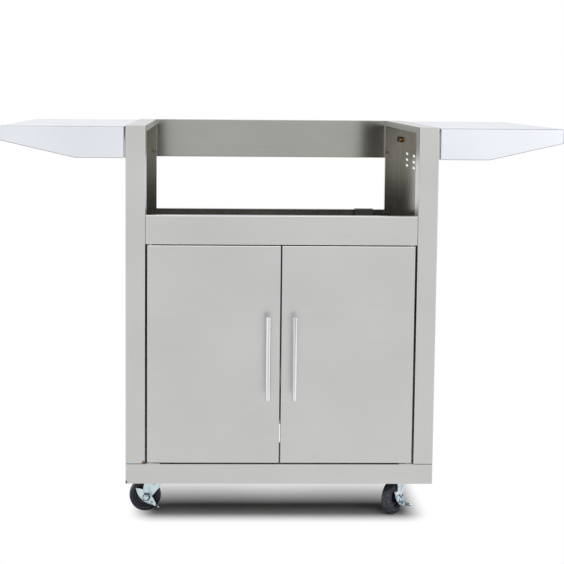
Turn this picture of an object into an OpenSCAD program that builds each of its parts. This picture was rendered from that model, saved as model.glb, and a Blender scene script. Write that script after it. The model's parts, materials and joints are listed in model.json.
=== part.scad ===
// Pizza oven cart: folded stainless side panels on a wheeled base pan, an open bay on top for a
// countertop oven, two inset doors on pivot pins, and a folding wedge-sided shelf at each side.
// Millimetres, +Z up, the front faces -Y, and the origin is on the floor under the middle of the cart.

/* [Cart body] */
// Width across the outer faces of the side panels
body_w = 728; // [660:1:860]
// Depth of the side panels, front face to rear face
body_d = 571; // [520:1:680]
// Height of the side panels' top above the floor
body_h = 930; // [880:1:1000]
// Width of the side panels' folded front and rear flanges
column_w = 46; // [42:1:60]
// Depth of the lip folded back from the front flange
front_lip = 50; // [36:1:80]
// Depth of the lip folded forward from the rear return
rear_lip = 14; // [8:1:24]
// Height of the lip folded down from the top flange
top_lip = 14.5; // [8:0.5:24]
// Height of the oven bay, front panel top to side panel top
bay_h = 207.5; // [160:0.5:240]
// Height of the front panel above the doors
front_panel_h = 68.5; // [50:0.5:90]
// Height of the upper rear panel
rear_upper_h = 103; // [60:1:130]
// Height of the opening between the two rear panels
rear_opening_h = 145; // [80:1:180]
// Height of the base pan's skirt
skirt_h = 47; // [40:1:60]
// How far the skirt hangs below the channels that carry the casters
skirt_drop = 15; // [5:1:20]
// Diameter of the hole for a gas bottle's foot ring
bottle_hole_d = 206; // [180:1:230]
// Depth of the turned-down edge of that hole
bottle_hole_rim = 10; // [4:1:20]
// Distance of that hole's centre from the front
bottle_hole_y = 280; // [240:1:320]

/* [Sheet metal] */
// Thickness of the body and shelf sheet
sheet_t = 1.2; // [0.8:0.1:2]
// Outer radius of a folded edge
bend_r = 2.2; // [2:0.1:4]
// Thickness of brackets, channels and hinge plates
bracket_t = 2.5; // [2:0.1:4]
// Depth of the rear panels' flanges
rear_flange = 14; // [8:1:24]
// How far the rear panels lap over the side panels' returns
rear_lap = 22; // [16:1:30]
// Depth of the front panel's top and end flanges
front_flange = 18; // [14:1:30]
// Depth of the front panel's bottom flange, which carries the catches
catch_flange = 45; // [40:1:60]
// Width of the lip turned in at the bottom of the base skirt
skirt_lip = 12; // [6:1:16]

/* [Vent slots] */
// Length of a vent slot
vent_l = 38; // [20:1:60]
// Height of a vent slot
vent_h = 6; // [4:0.5:10]
// Distances of the two slot columns from the front
vent_y = [350, 461];
// Depths of the three slot rows below the top
vent_drop = [86, 102, 117.5];

/* [Doors] */
// Thickness of a door
door_t = 18; // [16:0.5:25]
// Thickness of the door liner's sheet
liner_t = 1; // [0.8:0.1:1.5]
// Depth of the liner's edge flange
liner_flange = 5; // [3:0.5:6]
// Gap between a door and its column
hinge_gap = 4.5; // [4:0.1:7]
// Gap between the two doors
centre_gap = 3; // [2:0.1:6]
// Gap under the doors
door_gap_low = 3; // [3:0.1:6]
// Gap above the doors
door_gap_top = 2; // [1.5:0.1:5]
// Distance of the pivot axis from the door's hinge edge
pivot_in = 8; // [7.5:0.1:9]
// Distance of the pivot axis behind the door's front face
pivot_back = 7; // [6.8:0.1:8]
// Diameter of the door pivot pins
pivot_d = 8; // [5:0.1:8]
// Diameter of a pivot pin's head inside the door
pivot_head_d = 10.5; // [9:0.1:11]

/* [Door handles] */
// Diameter of the round handle bar
handle_d = 12; // [8:0.5:16]
// Length of the handle bar
handle_l = 196; // [120:1:300]
// Height of the handle's middle above the floor
handle_z = 393; // [300:1:450]
// Distance of the handle's axis from the cart's centre line
handle_x = 31; // [20:1:60]
// How far the handle's front reaches from the door
handle_reach = 46; // [35:1:60]
// Distance between the two handle posts
post_pitch = 128; // [64:1:160]
// Diameter of the handle posts
post_d = 9; // [8:0.5:12]

/* [Side shelves] */
// Length of a shelf, inner end to outer end
shelf_l = 287; // [240:1:340]
// How far the shelf's top lies below the side panels' top
shelf_drop = 2; // [0:0.5:6]
// Gap between a shelf and its side panel
shelf_gap = 3; // [3:0.1:6]
// Height of the shelf's side flanges at the inner end
wedge_h = 73; // [70:0.5:90]
// Height of the shelf's side flanges at the outer end
wedge_tip_h = 33.5; // [20:0.5:50]
// Length of the flanges' level bottom edge
wedge_flat = 114; // [80:1:160]
// Radius of the flanges' inner bottom corner
wedge_r = 4.5; // [4:0.1:8]
// Height of the shelf's inner end lip
shelf_lip_h = 45; // [20:1:48]
// Distance of that lip's ends from the shelf's front and rear
shelf_lip_in = 60; // [50:1:90]
// Distance of the fold axis from the shelf's inner end
fold_in = 9; // [8:0.1:9]
// Height of the fold axis above the flanges' bottom edge
fold_up = 9; // [8:0.1:9]
// Diameter of the fold studs
fold_d = 8; // [6:0.1:8]
// Radius of the guide studs' path about the fold axis
guide_r = 26; // [22:0.5:30]
// Diameter of the guide studs
guide_d = 6; // [4:0.1:7]
// Angle of the guide studs above the horizontal, shelf up
guide_angle = 86; // [84:1:90]
// Distance of a bracket's ear from the shelf's front or rear face
ear_in = 4; // [3:0.1:6]
// Length of a bracket's leg along the side panel
leg_l = 36; // [30:1:44]
// Depth of a bracket's bolt below the shelf's top
bracket_bolt_drop = 50; // [46:1:54]
// Distance of a bracket's bolt from the shelf's front or rear face
bracket_bolt_in = 20.5; // [20:0.5:28]

/* [Casters] */
// Diameter of the wheels
wheel_d = 76; // [60:1:100]
// Width of the tyres
wheel_w = 25; // [18:1:28]
// Radius of the wheel hub under the tyre
hub_r = 27; // [18:0.5:29]
// Distance of the wheel's axle from the swivel axis
caster_lead = 29; // [24:0.5:34]
// Distance of the swivel axes from the cart's sides
caster_in_x = 72; // [66:1:90]
// Distance of the swivel axes from the cart's front and rear
caster_in_y = 64; // [58:1:90]
// Height of the fork's crown above the wheel's top
crown_clear = 8.5; // [6:0.5:14]
// Thickness of the fork's sheet
fork_t = 2.5; // [2:0.1:3]
// Space between the fork's legs
fork_gap = 30; // [29:0.5:34]
// Half length of the fork's crown along the wheel
crown_r = 29; // [26:0.5:32]
// Radius of the fork's legs round the axle
leg_r = 10.4; // [9:0.1:13]
// Height of the ball race's cup
race_cup_h = 5.5; // [4:0.5:8]
// Gap that holds the ball ring
race_gap = 4; // [3:0.1:5]
// Length of the caster plate, front to rear
plate_l = 92; // [88:1:100]
// Width of the caster plate
plate_w = 64; // [62:1:70]
// Bolt spacing along the caster plate
plate_pitch_l = 76; // [72:0.5:80]
// Bolt spacing across the caster plate
plate_pitch_w = 48; // [40:0.5:52]
// Width of the channels that carry the casters
channel_w = 104; // [94:1:108]
// Direction in which the front left wheel trails
front_left_trail = -172; // [-180:0.5:180]
// Direction in which the front right wheel trails
front_right_trail = -125; // [-180:0.5:180]
// Direction in which the rear left wheel trails
rear_left_trail = 160; // [-180:0.5:180]
// Direction in which the rear right wheel trails
rear_right_trail = -35; // [-180:0.5:180]

/* [Brake levers] */
// Length of the lever's lens-shaped plate
lever_l = 66; // [50:1:70]
// Width of the lever's plate
lever_w = 25; // [20:1:30]
// Thickness of the lever's plate
lever_t = 2; // [1.5:0.1:3]
// Reach of the foot tab from the lever's plate
tab_out = 18; // [10:1:24]
// Width of the foot tab
tab_w = 8; // [5:0.5:12]
// Sideways shift of the foot tab from the lever's middle line
tab_shift = 4; // [0:0.5:5]
// Direction of the foot tab's end below the horizontal
lever_angle = 43; // [30:0.1:50]

/* [Fasteners] */
// Thread diameter of the panel screws
screw_d = 5; // [4:0.5:6]
// Head diameter of the panel screws
screw_head_d = 9.5; // [7:0.5:11]
// Head height of the panel screws
screw_head_h = 2.5; // [1.5:0.1:4]
// Thread diameter of the bolts in the brackets, casters and axles
bolt_d = 8; // [6:0.5:8]

/* [Fits] */
// Radial clearance of pins that turn and of fixed shanks
fit = 0.05; // [0.02:0.01:0.1]
// Radial clearance of screw and bolt holes
hole_fit = 0.25; // [0.15:0.05:0.5]
// Clearance where one sheet slips inside another
slip = 0.2; // [0.1:0.05:0.3]
// Clearance between faces that pass each other
pass = 0.3; // [0.2:0.05:0.5]

/* [Hidden] */
$fn = 48;

// Overrun of every cut past the face it opens
over = 1;
LEFT = -1;
RIGHT = 1;

// Casters: fork crown, race and plate stacked over the wheel
axle_z = wheel_d / 2;
crown_z = wheel_d + crown_clear;
race_z = crown_z + fork_t;
plate_t = fork_t;
caster_h = race_z + race_gap + race_cup_h + plate_t;

// Heights of the body
skirt_z = caster_h - skirt_drop;
base_top = skirt_z + skirt_h;
front_panel_top = body_h - bay_h;
front_panel_z = front_panel_top - front_panel_h;
rear_upper_z = body_h - rear_upper_h;
rear_lower_top = rear_upper_z - rear_opening_h;
rear_skirt_lap = 20;

// Widths and depths of the body
side_x = body_w / 2;
inner_x = side_x - column_w;
body_rear = body_d + sheet_t;
whole_d = handle_reach + body_rear + screw_head_h;
front_y = handle_reach - whole_d / 2;

// Doors
door_z = base_top + door_gap_low;
door_h = front_panel_z - door_gap_top - door_z;
door_edge = inner_x - hinge_gap;
door_w = door_edge - centre_gap / 2;
pivot_x = door_edge - pivot_in;
washer_t = 1.2;
low_plate_t = door_gap_low - washer_t - pass;
strike_t = 1.5;
strike_w = 26;
strike_h = 10;
strike_x = 13;
catch_w = 26;
catch_d = 14;
catch_h = 14;
catch_wall = 2;

// Side shelves, as deep as the cart's body
shelf_d = body_rear;
shelf_x = side_x + shelf_gap;
shelf_z = body_h - shelf_drop;
fold_x = shelf_x + fold_in;
fold_z = shelf_z - wedge_h + fold_up;
slot_r = guide_d / 2 + 0.4;
ear_rim = 5;
ear_r = guide_r + slot_r + ear_rim;
ear_low = fold_up;
stud_l = 13;
fold_nut_h = 4;
guide_nut_af = 10;
guide_nut_h = 3;

// Fasteners
screw_nut_af = 8;
screw_nut_h = 4;
screw_end = 2;
bolt_nut_af = 13;
bolt_nut_h = 6.5;
bolt_head_h = 5.3;
button_head_d = 13;
button_head_h = 4;
thread_end = 2.5;
screw_x = inner_x + 8;
screw_in = 15;
rear_lower_h = rear_lower_top - base_top;
upper_screw_drop = [screw_in, rear_upper_h - screw_in];
lower_screw_drop = [screw_in, rear_lower_h / 2, rear_lower_h - 2 * screw_in];
skirt_screw_in = 68;
skirt_screw_x = (inner_x - skirt_screw_in) * [-1, 0, 1];
skirt_screw_z = base_top - rear_skirt_lap / 2;
base_bolt_x = inner_x + screw_in;
base_bolt_end = 60;
base_bolt_in = [base_bolt_end, body_d / 2, body_d - base_bolt_end];
front_screw_y = front_flange / 2 + 1;
front_screw_rise = [screw_in, front_panel_h - screw_in];

// Places of the four casters
swivel_x = side_x - caster_in_x;
swivel_rear = body_d - caster_in_y;
FRONT_LEFT = [-swivel_x, caster_in_y, front_left_trail];
FRONT_RIGHT = [swivel_x, caster_in_y, front_right_trail];
REAR_LEFT = [-swivel_x, swivel_rear, rear_left_trail];
REAR_RIGHT = [swivel_x, swivel_rear, rear_right_trail];
CASTERS = [FRONT_LEFT, FRONT_RIGHT, REAR_LEFT, REAR_RIGHT];
sleeve_d = 12;
kingpin_d = 10;
leg_out = fork_gap / 2 + fork_t;

// A rounded outline: each corner of the outline is replaced by an arc of its own radius
function unit(v) = v / norm(v);
function corner_arc(before, at, after, r, steps) =
    r <= 0 ? [at] :
    let (
        a = unit(before - at),
        b = unit(after - at),
        half = acos(a * b) / 2,
        centre = at + unit(a + b) * r / sin(half),
        first = at + a * r / tan(half) - centre,
        last = at + b * r / tan(half) - centre,
        start = atan2(first[1], first[0]),
        turn = atan2(first[0] * last[1] - first[1] * last[0], first * last)
    )
    [for (i = [0:steps]) centre + r * [cos(start + turn * i / steps), sin(start + turn * i / steps)]];
function rounded(points, radii, steps = 5) =
    let (n = len(points))
    [for (i = [0:n - 1])
        each corner_arc(points[(i + n - 1) % n], points[i], points[(i + 1) % n], radii[i], steps)];

// A rectangle from one corner to the other, with a radius for each corner in turn from the first
module round_rect(low, high, radii) {
    polygon(rounded([low, [high[0], low[1]], high, [low[0], high[1]]], radii));
}

module box(low, high) {
    translate(low) cube(high - low);
}

// An outline drawn in X and Z, run along Y from y0 to y1
module along_y(y0, y1) {
    translate([0, y1, 0]) rotate([90, 0, 0]) linear_extrude(y1 - y0) children();
}

// An outline drawn in Y and Z, run along X from x0 to x1
module along_x(x0, x1) {
    translate([x0, 0, 0]) rotate([90, 0, 90]) linear_extrude(x1 - x0) children();
}

module rod_x(r, x0, x1, y, z) {
    translate([x0, y, z]) rotate([0, 90, 0]) cylinder(h = x1 - x0, r = r);
}

module rod_y(r, y0, y1, x, z) {
    translate([x, y1, z]) rotate([90, 0, 0]) cylinder(h = y1 - y0, r = r);
}

module rod_z(r, z0, z1, x, y) {
    translate([x, y, z0]) cylinder(h = z1 - z0, r = r);
}

// Everything on the cart is placed by its depth behind the front face
module placed() {
    translate([0, front_y, 0]) children();
}

// The left side is the right side seen in a mirror
module on_side(side) {
    if (side < 0) mirror([1, 0, 0]) children();
    else children();
}

// The same piece at the front and at the rear of a shelf
module at_both_ends(depth) {
    children();
    translate([0, depth, 0]) mirror([0, 1, 0]) children();
}

// A block whose four front edges are folded edges, from the front face at y0 back to y1
module folded_block(low, high, r) {
    intersection() {
        translate([0, 0, low[2]]) linear_extrude(high[2] - low[2])
            round_rect([low[0], low[1]], [high[0], high[1]], [r, r, 0, 0]);
        along_x(low[0], high[0])
            round_rect([low[1], low[2]], [high[1], high[2]], [r, 0, 0, r]);
    }
}

// A hex nut with its axis along Z, standing on z = 0
module hex_nut(across, height, bore_r) {
    difference() {
        rotate([0, 0, 30]) cylinder(h = height, d = across / cos(30), $fn = 6);
        translate([0, 0, -over]) cylinder(h = height + 2 * over, r = bore_r);
    }
}

// A low domed head with its flat side on z = 0
module dome_head(diameter, height) {
    r = diameter / 2;
    rim = height / 3;
    rotate_extrude() polygon(concat([[0, 0], [r, 0], [r, rim]],
        [for (i = [1:5]) [r * cos(90 * i / 5), rim + (height - rim) * sin(90 * i / 5)]]));
}

// Base

module base_pan() {
    color([0.77, 0.77, 0.76]) placed() difference() {
        union() {
            difference() {
                translate([0, 0, skirt_z]) linear_extrude(skirt_h)
                    round_rect([-side_x, 0], [side_x, body_d], [bend_r, bend_r, bend_r, bend_r]);
                translate([0, 0, skirt_z + sheet_t]) linear_extrude(skirt_h - 2 * sheet_t)
                    round_rect([-side_x + sheet_t, sheet_t], [side_x - sheet_t, body_d - sheet_t],
                        (bend_r - sheet_t) * [1, 1, 1, 1]);
                box([-side_x + skirt_lip, skirt_lip, skirt_z - over],
                    [side_x - skirt_lip, body_d - skirt_lip, skirt_z + sheet_t + over]);
            }
            rod_z(bottle_hole_d / 2 + sheet_t, base_top - bottle_hole_rim, base_top, 0, bottle_hole_y);
        }
        rod_z(bottle_hole_d / 2, base_top - bottle_hole_rim - over, base_top + over, 0, bottle_hole_y);
        for (side = [LEFT, RIGHT]) {
            for (y = base_bolt_in)
                rod_z(screw_d / 2 + hole_fit, base_top - 2 * sheet_t, base_top + over, side * base_bolt_x, y);
            rod_z(pivot_d / 2 + over, base_top - 2 * sheet_t, base_top + over, side * pivot_x, pivot_back);
        }
        for (x = skirt_screw_x)
            rod_y(screw_d / 2 + hole_fit, body_d - 2 * sheet_t, body_d + over, x, skirt_screw_z);
    }
}

module caster_channels() {
    half = channel_w / 2;
    flange = 14;
    top = base_top - sheet_t;
    end_in = 20;
    color([0.66, 0.67, 0.67]) placed() for (side = [LEFT, RIGHT]) difference() {
        translate([side * swivel_x, 0, 0]) along_y(end_in, body_d - end_in) polygon([
            [-half, caster_h], [half, caster_h], [half, top - fork_t], [half + flange, top - fork_t],
            [half + flange, top], [half - fork_t, top], [half - fork_t, caster_h + fork_t],
            [-half + fork_t, caster_h + fork_t], [-half + fork_t, top], [-half - flange, top],
            [-half - flange, top - fork_t], [-half, top - fork_t]]);
        for (y = [caster_in_y, swivel_rear], dx = [-1, 1], dy = [-1, 1])
            rod_z(bolt_d / 2 + hole_fit, caster_h - over, caster_h + fork_t + over,
                side * swivel_x + dx * plate_pitch_w / 2, y + dy * plate_pitch_l / 2);
    }
}

// Side panels

module vent_slot() {
    half = (vent_l - vent_h) / 2;
    union() {
        translate([-half, -vent_h / 2]) square([2 * half, vent_h]);
        for (end = [-half, half]) translate([end, 0]) circle(d = vent_h);
    }
}

module side_panel(side) {
    color([0.76, 0.77, 0.78]) placed() on_side(side) difference() {
        union() {
            translate([0, 0, base_top]) linear_extrude(body_h - base_top) difference() {
                round_rect([inner_x, 0], [side_x, body_d], bend_r * [1, 1, 1, 1]);
                round_rect([inner_x + sheet_t, sheet_t], [side_x - sheet_t, body_d - sheet_t],
                    (bend_r - sheet_t) * [1, 1, 1, 1]);
                translate([inner_x - over, front_lip])
                    square([sheet_t + 2 * over, body_d - front_lip - rear_lip]);
            }
            for (z = [base_top, body_h - sheet_t]) translate([0, 0, z]) linear_extrude(sheet_t)
                round_rect([inner_x, 0], [side_x, body_d], bend_r * [1, 1, 1, 1]);
            box([inner_x, front_lip - over, body_h - top_lip],
                [inner_x + sheet_t, body_d - rear_lip + over, body_h]);
        }
        for (y = vent_y, drop = vent_drop)
            translate([0, y, body_h - drop]) along_x(side_x - 2 * sheet_t, side_x + over) vent_slot();
        for (drop = upper_screw_drop)
            rod_y(screw_d / 2 + hole_fit, body_d - 2 * sheet_t, body_d + over, screw_x, body_h - drop);
        for (drop = lower_screw_drop)
            rod_y(screw_d / 2 + hole_fit, body_d - 2 * sheet_t, body_d + over, screw_x,
                rear_lower_top - drop);
        for (rise = front_screw_rise)
            rod_x(screw_d / 2 + hole_fit, inner_x - over, inner_x + 2 * sheet_t, front_screw_y,
                front_panel_z + rise);
        for (y = base_bolt_in)
            rod_z(screw_d / 2 + hole_fit, base_top - over, base_top + 2 * sheet_t, base_bolt_x, y);
        at_both_ends(shelf_d)
            rod_x(bolt_d / 2 + hole_fit, side_x - 2 * sheet_t, side_x + over, bracket_bolt_in,
                shelf_z - bracket_bolt_drop);
    }
}

module left_side_panel() side_panel(LEFT);
module right_side_panel() side_panel(RIGHT);

// Front and rear panels

module front_panel() {
    end = inner_x - pass;
    color([0.75, 0.75, 0.75]) placed() difference() {
        folded_block([-end, 0, front_panel_z], [end, catch_flange, front_panel_top], bend_r);
        intersection() {
            folded_block([-end + sheet_t, sheet_t, front_panel_z + sheet_t],
                [end - sheet_t, catch_flange + over, front_panel_top - sheet_t], bend_r - sheet_t);
            box([-end, 0, front_panel_z], [end, catch_flange + over, front_panel_top]);
        }
        box([-end - over, front_flange, front_panel_z + sheet_t],
            [end + over, catch_flange + over, front_panel_top + over]);
        for (side = [LEFT, RIGHT]) {
            rod_z(pivot_d / 2 + over, front_panel_z - over, front_panel_z + 2 * sheet_t,
                side * pivot_x, pivot_back);
            on_side(side) for (rise = front_screw_rise)
                rod_x(screw_d / 2 + hole_fit, end - 2 * sheet_t, end + over, front_screw_y,
                    front_panel_z + rise);
        }
    }
}

module rear_upper_panel() {
    end = inner_x + rear_lap;
    inner_end = inner_x - slip;
    color([0.62, 0.62, 0.6]) placed() difference() {
        union() {
            box([-end, body_d, rear_upper_z], [end, body_rear, body_h]);
            for (z = [rear_upper_z, body_h - sheet_t])
                box([-inner_end, body_d - rear_flange, z], [inner_end, body_d + sheet_t / 2, z + sheet_t]);
        }
        for (side = [LEFT, RIGHT], drop = upper_screw_drop)
            rod_y(screw_d / 2 + hole_fit, body_d - over, body_rear + over, side * screw_x, body_h - drop);
    }
}

module rear_lower_panel() {
    end = inner_x + rear_lap;
    inner_end = inner_x - slip;
    color([0.6, 0.6, 0.58]) placed() difference() {
        union() {
            box([-end, body_d, base_top - rear_skirt_lap], [end, body_rear, rear_lower_top]);
            box([-inner_end, body_d - rear_flange, rear_lower_top - sheet_t],
                [inner_end, body_d + sheet_t / 2, rear_lower_top]);
        }
        for (side = [LEFT, RIGHT], drop = lower_screw_drop)
            rod_y(screw_d / 2 + hole_fit, body_d - over, body_rear + over, side * screw_x,
                rear_lower_top - drop);
        for (x = skirt_screw_x)
            rod_y(screw_d / 2 + hole_fit, body_d - over, body_rear + over, x, skirt_screw_z);
    }
}

// A clip pressed over the lower rear panel's top edge, where a gas hose passes
module hose_edge_guard() {
    guard_x = [inner_x - 83, inner_x - 32];
    wall = 1.6;
    front_drop = 22;
    rear_drop = 12;
    front = body_d - rear_flange;
    color([0.45, 0.45, 0.45]) placed() along_x(guard_x[0], guard_x[1]) polygon(rounded([
        [front - wall, rear_lower_top - front_drop], [front, rear_lower_top - front_drop],
        [front, rear_lower_top], [body_rear, rear_lower_top], [body_rear, rear_lower_top - rear_drop],
        [body_rear + wall, rear_lower_top - rear_drop], [body_rear + wall, rear_lower_top + wall],
        [front - wall, rear_lower_top + wall]], [0, 0, 0, 0, 0, 0, wall, wall]));
}

// Panel fasteners

// Places of the rear panel screws, seen from behind
rear_screws = concat(
    [for (side = [LEFT, RIGHT], drop = upper_screw_drop) [side * screw_x, body_h - drop]],
    [for (side = [LEFT, RIGHT], drop = lower_screw_drop) [side * screw_x, rear_lower_top - drop]],
    [for (x = skirt_screw_x) [x, skirt_screw_z]]);
screw_reach = body_rear - body_d + sheet_t + screw_nut_h + screw_end;

module panel_screws() {
    color([0.72, 0.72, 0.72]) placed() for (at = rear_screws) {
        translate([at[0], body_rear, at[1]]) rotate([-90, 0, 0]) union() {
            dome_head(screw_head_d, screw_head_h);
            translate([0, 0, -screw_reach]) cylinder(h = screw_reach + screw_head_h / 4, d = screw_d);
        }
    }
}

module panel_nuts() {
    color([0.72, 0.6, 0.35]) placed() for (at = rear_screws)
        translate([at[0], body_d - sheet_t, at[1]]) rotate([90, 0, 0])
            hex_nut(screw_nut_af, screw_nut_h, screw_d / 2 + fit);
}

module front_panel_screws() {
    head_x = inner_x - pass - sheet_t;
    reach = pass + 2 * sheet_t + screw_nut_h + screw_end;
    color([0.72, 0.72, 0.72]) placed() for (side = [LEFT, RIGHT], rise = front_screw_rise) on_side(side)
        translate([head_x, front_screw_y, front_panel_z + rise]) rotate([0, -90, 0]) union() {
            dome_head(screw_head_d, screw_head_h);
            translate([0, 0, -reach]) cylinder(h = reach + screw_head_h / 4, d = screw_d);
        }
}

module front_panel_nuts() {
    color([0.72, 0.6, 0.35]) placed() for (side = [LEFT, RIGHT], rise = front_screw_rise) on_side(side)
        translate([inner_x + sheet_t, front_screw_y, front_panel_z + rise]) rotate([0, 90, 0])
            hex_nut(screw_nut_af, screw_nut_h, screw_d / 2 + fit);
}

// Screws with clinched nuts that hold the side panels' bottom flanges to the floor
module side_panel_bolts() {
    reach = 2 * sheet_t + screw_nut_h + screw_end;
    color([0.72, 0.72, 0.72]) placed() for (side = [LEFT, RIGHT], y = base_bolt_in)
        translate([side * base_bolt_x, y, base_top + sheet_t]) union() {
            dome_head(screw_head_d, screw_head_h);
            translate([0, 0, -reach]) cylinder(h = reach + screw_head_h / 4, d = screw_d);
            translate([0, 0, -2 * sheet_t - screw_nut_h])
                rotate([0, 0, 30]) cylinder(h = screw_nut_h, d = screw_nut_af / cos(30), $fn = 6);
        }
}

// Door catches and hinges

module catch_housings() {
    front = door_t + strike_t + pass;
    low = front_panel_z - catch_h;
    color([0.2, 0.2, 0.21]) placed() for (side = [LEFT, RIGHT]) on_side(side) difference() {
        box([strike_x, front, low], [strike_x + catch_w, front + catch_d, front_panel_z]);
        box([strike_x + catch_wall, front - over, low + catch_wall],
            [strike_x + catch_w - catch_wall, front + catch_d / 2, front_panel_z - catch_wall]);
    }
}

module catch_magnets() {
    front = door_t + strike_t + pass;
    low = front_panel_z - catch_h + catch_wall;
    color([0.7, 0.7, 0.7]) placed() for (side = [LEFT, RIGHT]) on_side(side)
        box([strike_x + catch_wall, front, low],
            [strike_x + catch_w - catch_wall, front + catch_d / 2, front_panel_z - catch_wall]);
}

module door_hinge_plates() {
    inner = pivot_x - 22;
    outer = inner_x - pass - sheet_t - pass;
    rear = 32;
    color([0.7, 0.7, 0.7]) placed() for (side = [LEFT, RIGHT]) on_side(side) {
        for (spot = [[base_top, low_plate_t], [front_panel_z + sheet_t, bracket_t]])
            translate([0, 0, spot[0]]) linear_extrude(spot[1]) difference() {
                round_rect([inner, sheet_t + pass], [outer, rear], [0, 0, 4, 4]);
                translate([pivot_x, pivot_back]) circle(r = pivot_d / 2 + fit);
            }
    }
}

module door_hinge_washers() {
    color([0.9, 0.9, 0.88]) placed() for (side = [LEFT, RIGHT])
        translate([side * pivot_x, pivot_back, base_top + low_plate_t]) difference() {
            cylinder(h = washer_t, r = pivot_back - pass);
            translate([0, 0, -over]) cylinder(h = washer_t + 2 * over, r = pivot_d / 2 + fit);
        }
}

// Doors: a folded skin, and a liner that slips into it from behind

module door_skin(side) {
    inside = centre_gap / 2;
    color([0.76, 0.76, 0.75]) placed() on_side(side) difference() {
        folded_block([inside, 0, door_z], [door_edge, door_t, door_z + door_h], bend_r);
        folded_block([inside + sheet_t, sheet_t, door_z + sheet_t],
            [door_edge - sheet_t, door_t + over, door_z + door_h - sheet_t], bend_r - sheet_t);
        for (z = [door_z - over, door_z + door_h - 2 * sheet_t])
            rod_z(pivot_d / 2 + fit, z, z + 2 * sheet_t + over, pivot_x, pivot_back);
        for (dz = [-1, 1])
            rod_y(screw_d / 2 + hole_fit, -over, 2 * sheet_t, handle_x, handle_z + dz * post_pitch / 2);
    }
}

module door_liner(side) {
    wall = sheet_t + slip;
    low = [centre_gap / 2 + wall, door_t - liner_flange, door_z + wall];
    high = [door_edge - wall, door_t, door_z + door_h - wall];
    color([0.6, 0.6, 0.59]) placed() on_side(side) difference() {
        box(low, high);
        box(low + [liner_t, -over, liner_t], high - liner_t * [1, 1, 1]);
    }
}

// Shouldered pins whose heads bear inside the skin's top and bottom folds
module door_pivot_pins(side) {
    head_h = 3;
    low_reach = door_gap_low + sheet_t + 3;
    top_reach = door_gap_top + sheet_t + bracket_t + 1.5;
    color([0.68, 0.69, 0.7]) placed() on_side(side) translate([pivot_x, pivot_back, 0]) {
        translate([0, 0, door_z + sheet_t]) union() {
            cylinder(h = head_h, d = pivot_head_d);
            translate([0, 0, -sheet_t - low_reach]) cylinder(h = sheet_t + low_reach + over, d = pivot_d);
        }
        translate([0, 0, door_z + door_h - sheet_t]) union() {
            translate([0, 0, -head_h]) cylinder(h = head_h, d = pivot_head_d);
            translate([0, 0, -over]) cylinder(h = over + sheet_t + top_reach, d = pivot_d);
        }
    }
}

module door_strike(side) {
    top = door_z + door_h - 1;
    color([0.7, 0.7, 0.7]) placed() on_side(side)
        box([strike_x, door_t, top - strike_h], [strike_x + strike_w, door_t + strike_t, top]);
}

module left_door_skin() door_skin(LEFT);
module right_door_skin() door_skin(RIGHT);
module left_door_liner() door_liner(LEFT);
module right_door_liner() door_liner(RIGHT);
module left_door_pivot_pins() door_pivot_pins(LEFT);
module right_door_pivot_pins() door_pivot_pins(RIGHT);
module left_door_strike() door_strike(LEFT);
module right_door_strike() door_strike(RIGHT);

// Handles

bar_y = handle_d / 2 - handle_reach;

module handle_bar(side) {
    half = handle_l / 2;
    edge = 1;
    color([0.8, 0.8, 0.8]) placed() on_side(side) translate([handle_x, bar_y, handle_z])
        rotate_extrude() polygon([[0, -half], [handle_d / 2 - edge, -half], [handle_d / 2, -half + edge],
            [handle_d / 2, half - edge], [handle_d / 2 - edge, half], [0, half]]);
}

// Posts with the screws that hold them from inside the door
module handle_posts(side) {
    color([0.75, 0.75, 0.75]) placed() on_side(side) difference() {
        for (dz = [-1, 1]) {
            z = handle_z + dz * post_pitch / 2;
            rod_y(post_d / 2, bar_y, 0, handle_x, z);
            rod_y(screw_d / 2, -over, sheet_t + over, handle_x, z);
            translate([handle_x, sheet_t, z]) rotate([-90, 0, 0]) dome_head(screw_head_d, screw_head_h);
        }
        rod_z(handle_d / 2, handle_z - handle_l / 2, handle_z + handle_l / 2, handle_x, bar_y);
    }
}

module left_handle_bar() handle_bar(LEFT);
module right_handle_bar() handle_bar(RIGHT);
module left_handle_posts() handle_posts(LEFT);
module right_handle_posts() handle_posts(RIGHT);

// Folding shelves, drawn with the inner end at x = 0 and the top at z = 0

module shelf_outline() {
    polygon(rounded([[0, 0], [shelf_l, 0], [shelf_l, -wedge_tip_h], [wedge_flat, -wedge_h], [0, -wedge_h]],
        [0, bend_r, bend_r, 2 * wedge_r, wedge_r]));
}

module shelf_cavity() {
    r = bend_r - sheet_t;
    intersection() {
        along_y(sheet_t, shelf_d - sheet_t)
            round_rect([sheet_t, -wedge_h - over], [shelf_l - sheet_t, -sheet_t], [0, 0, r, 0]);
        along_x(0, shelf_l)
            round_rect([sheet_t, -wedge_h - over], [shelf_d - sheet_t, -sheet_t], [0, 0, r, r]);
    }
}

module shelf_top(side) {
    lip_end = shelf_d - shelf_lip_in;
    color([0.86, 0.87, 0.89]) placed() on_side(side) translate([shelf_x, 0, shelf_z]) difference() {
        intersection() {
            along_y(0, shelf_d) shelf_outline();
            along_x(0, shelf_l) round_rect([0, -wedge_h], [shelf_d, 0], [0, 0, bend_r, bend_r]);
        }
        shelf_cavity();
        box([-over, sheet_t, -wedge_h - over], [sheet_t + over, shelf_lip_in, -sheet_t]);
        box([-over, lip_end, -wedge_h - over], [sheet_t + over, shelf_d - sheet_t, -sheet_t]);
        box([-over, shelf_lip_in - over, -wedge_h - over], [sheet_t + over, lip_end + over, -shelf_lip_h]);
    }
}

// Fold and guide studs welded inside the shelf's front and rear flanges
guide_at = guide_r * [cos(guide_angle), sin(guide_angle)];

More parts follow.
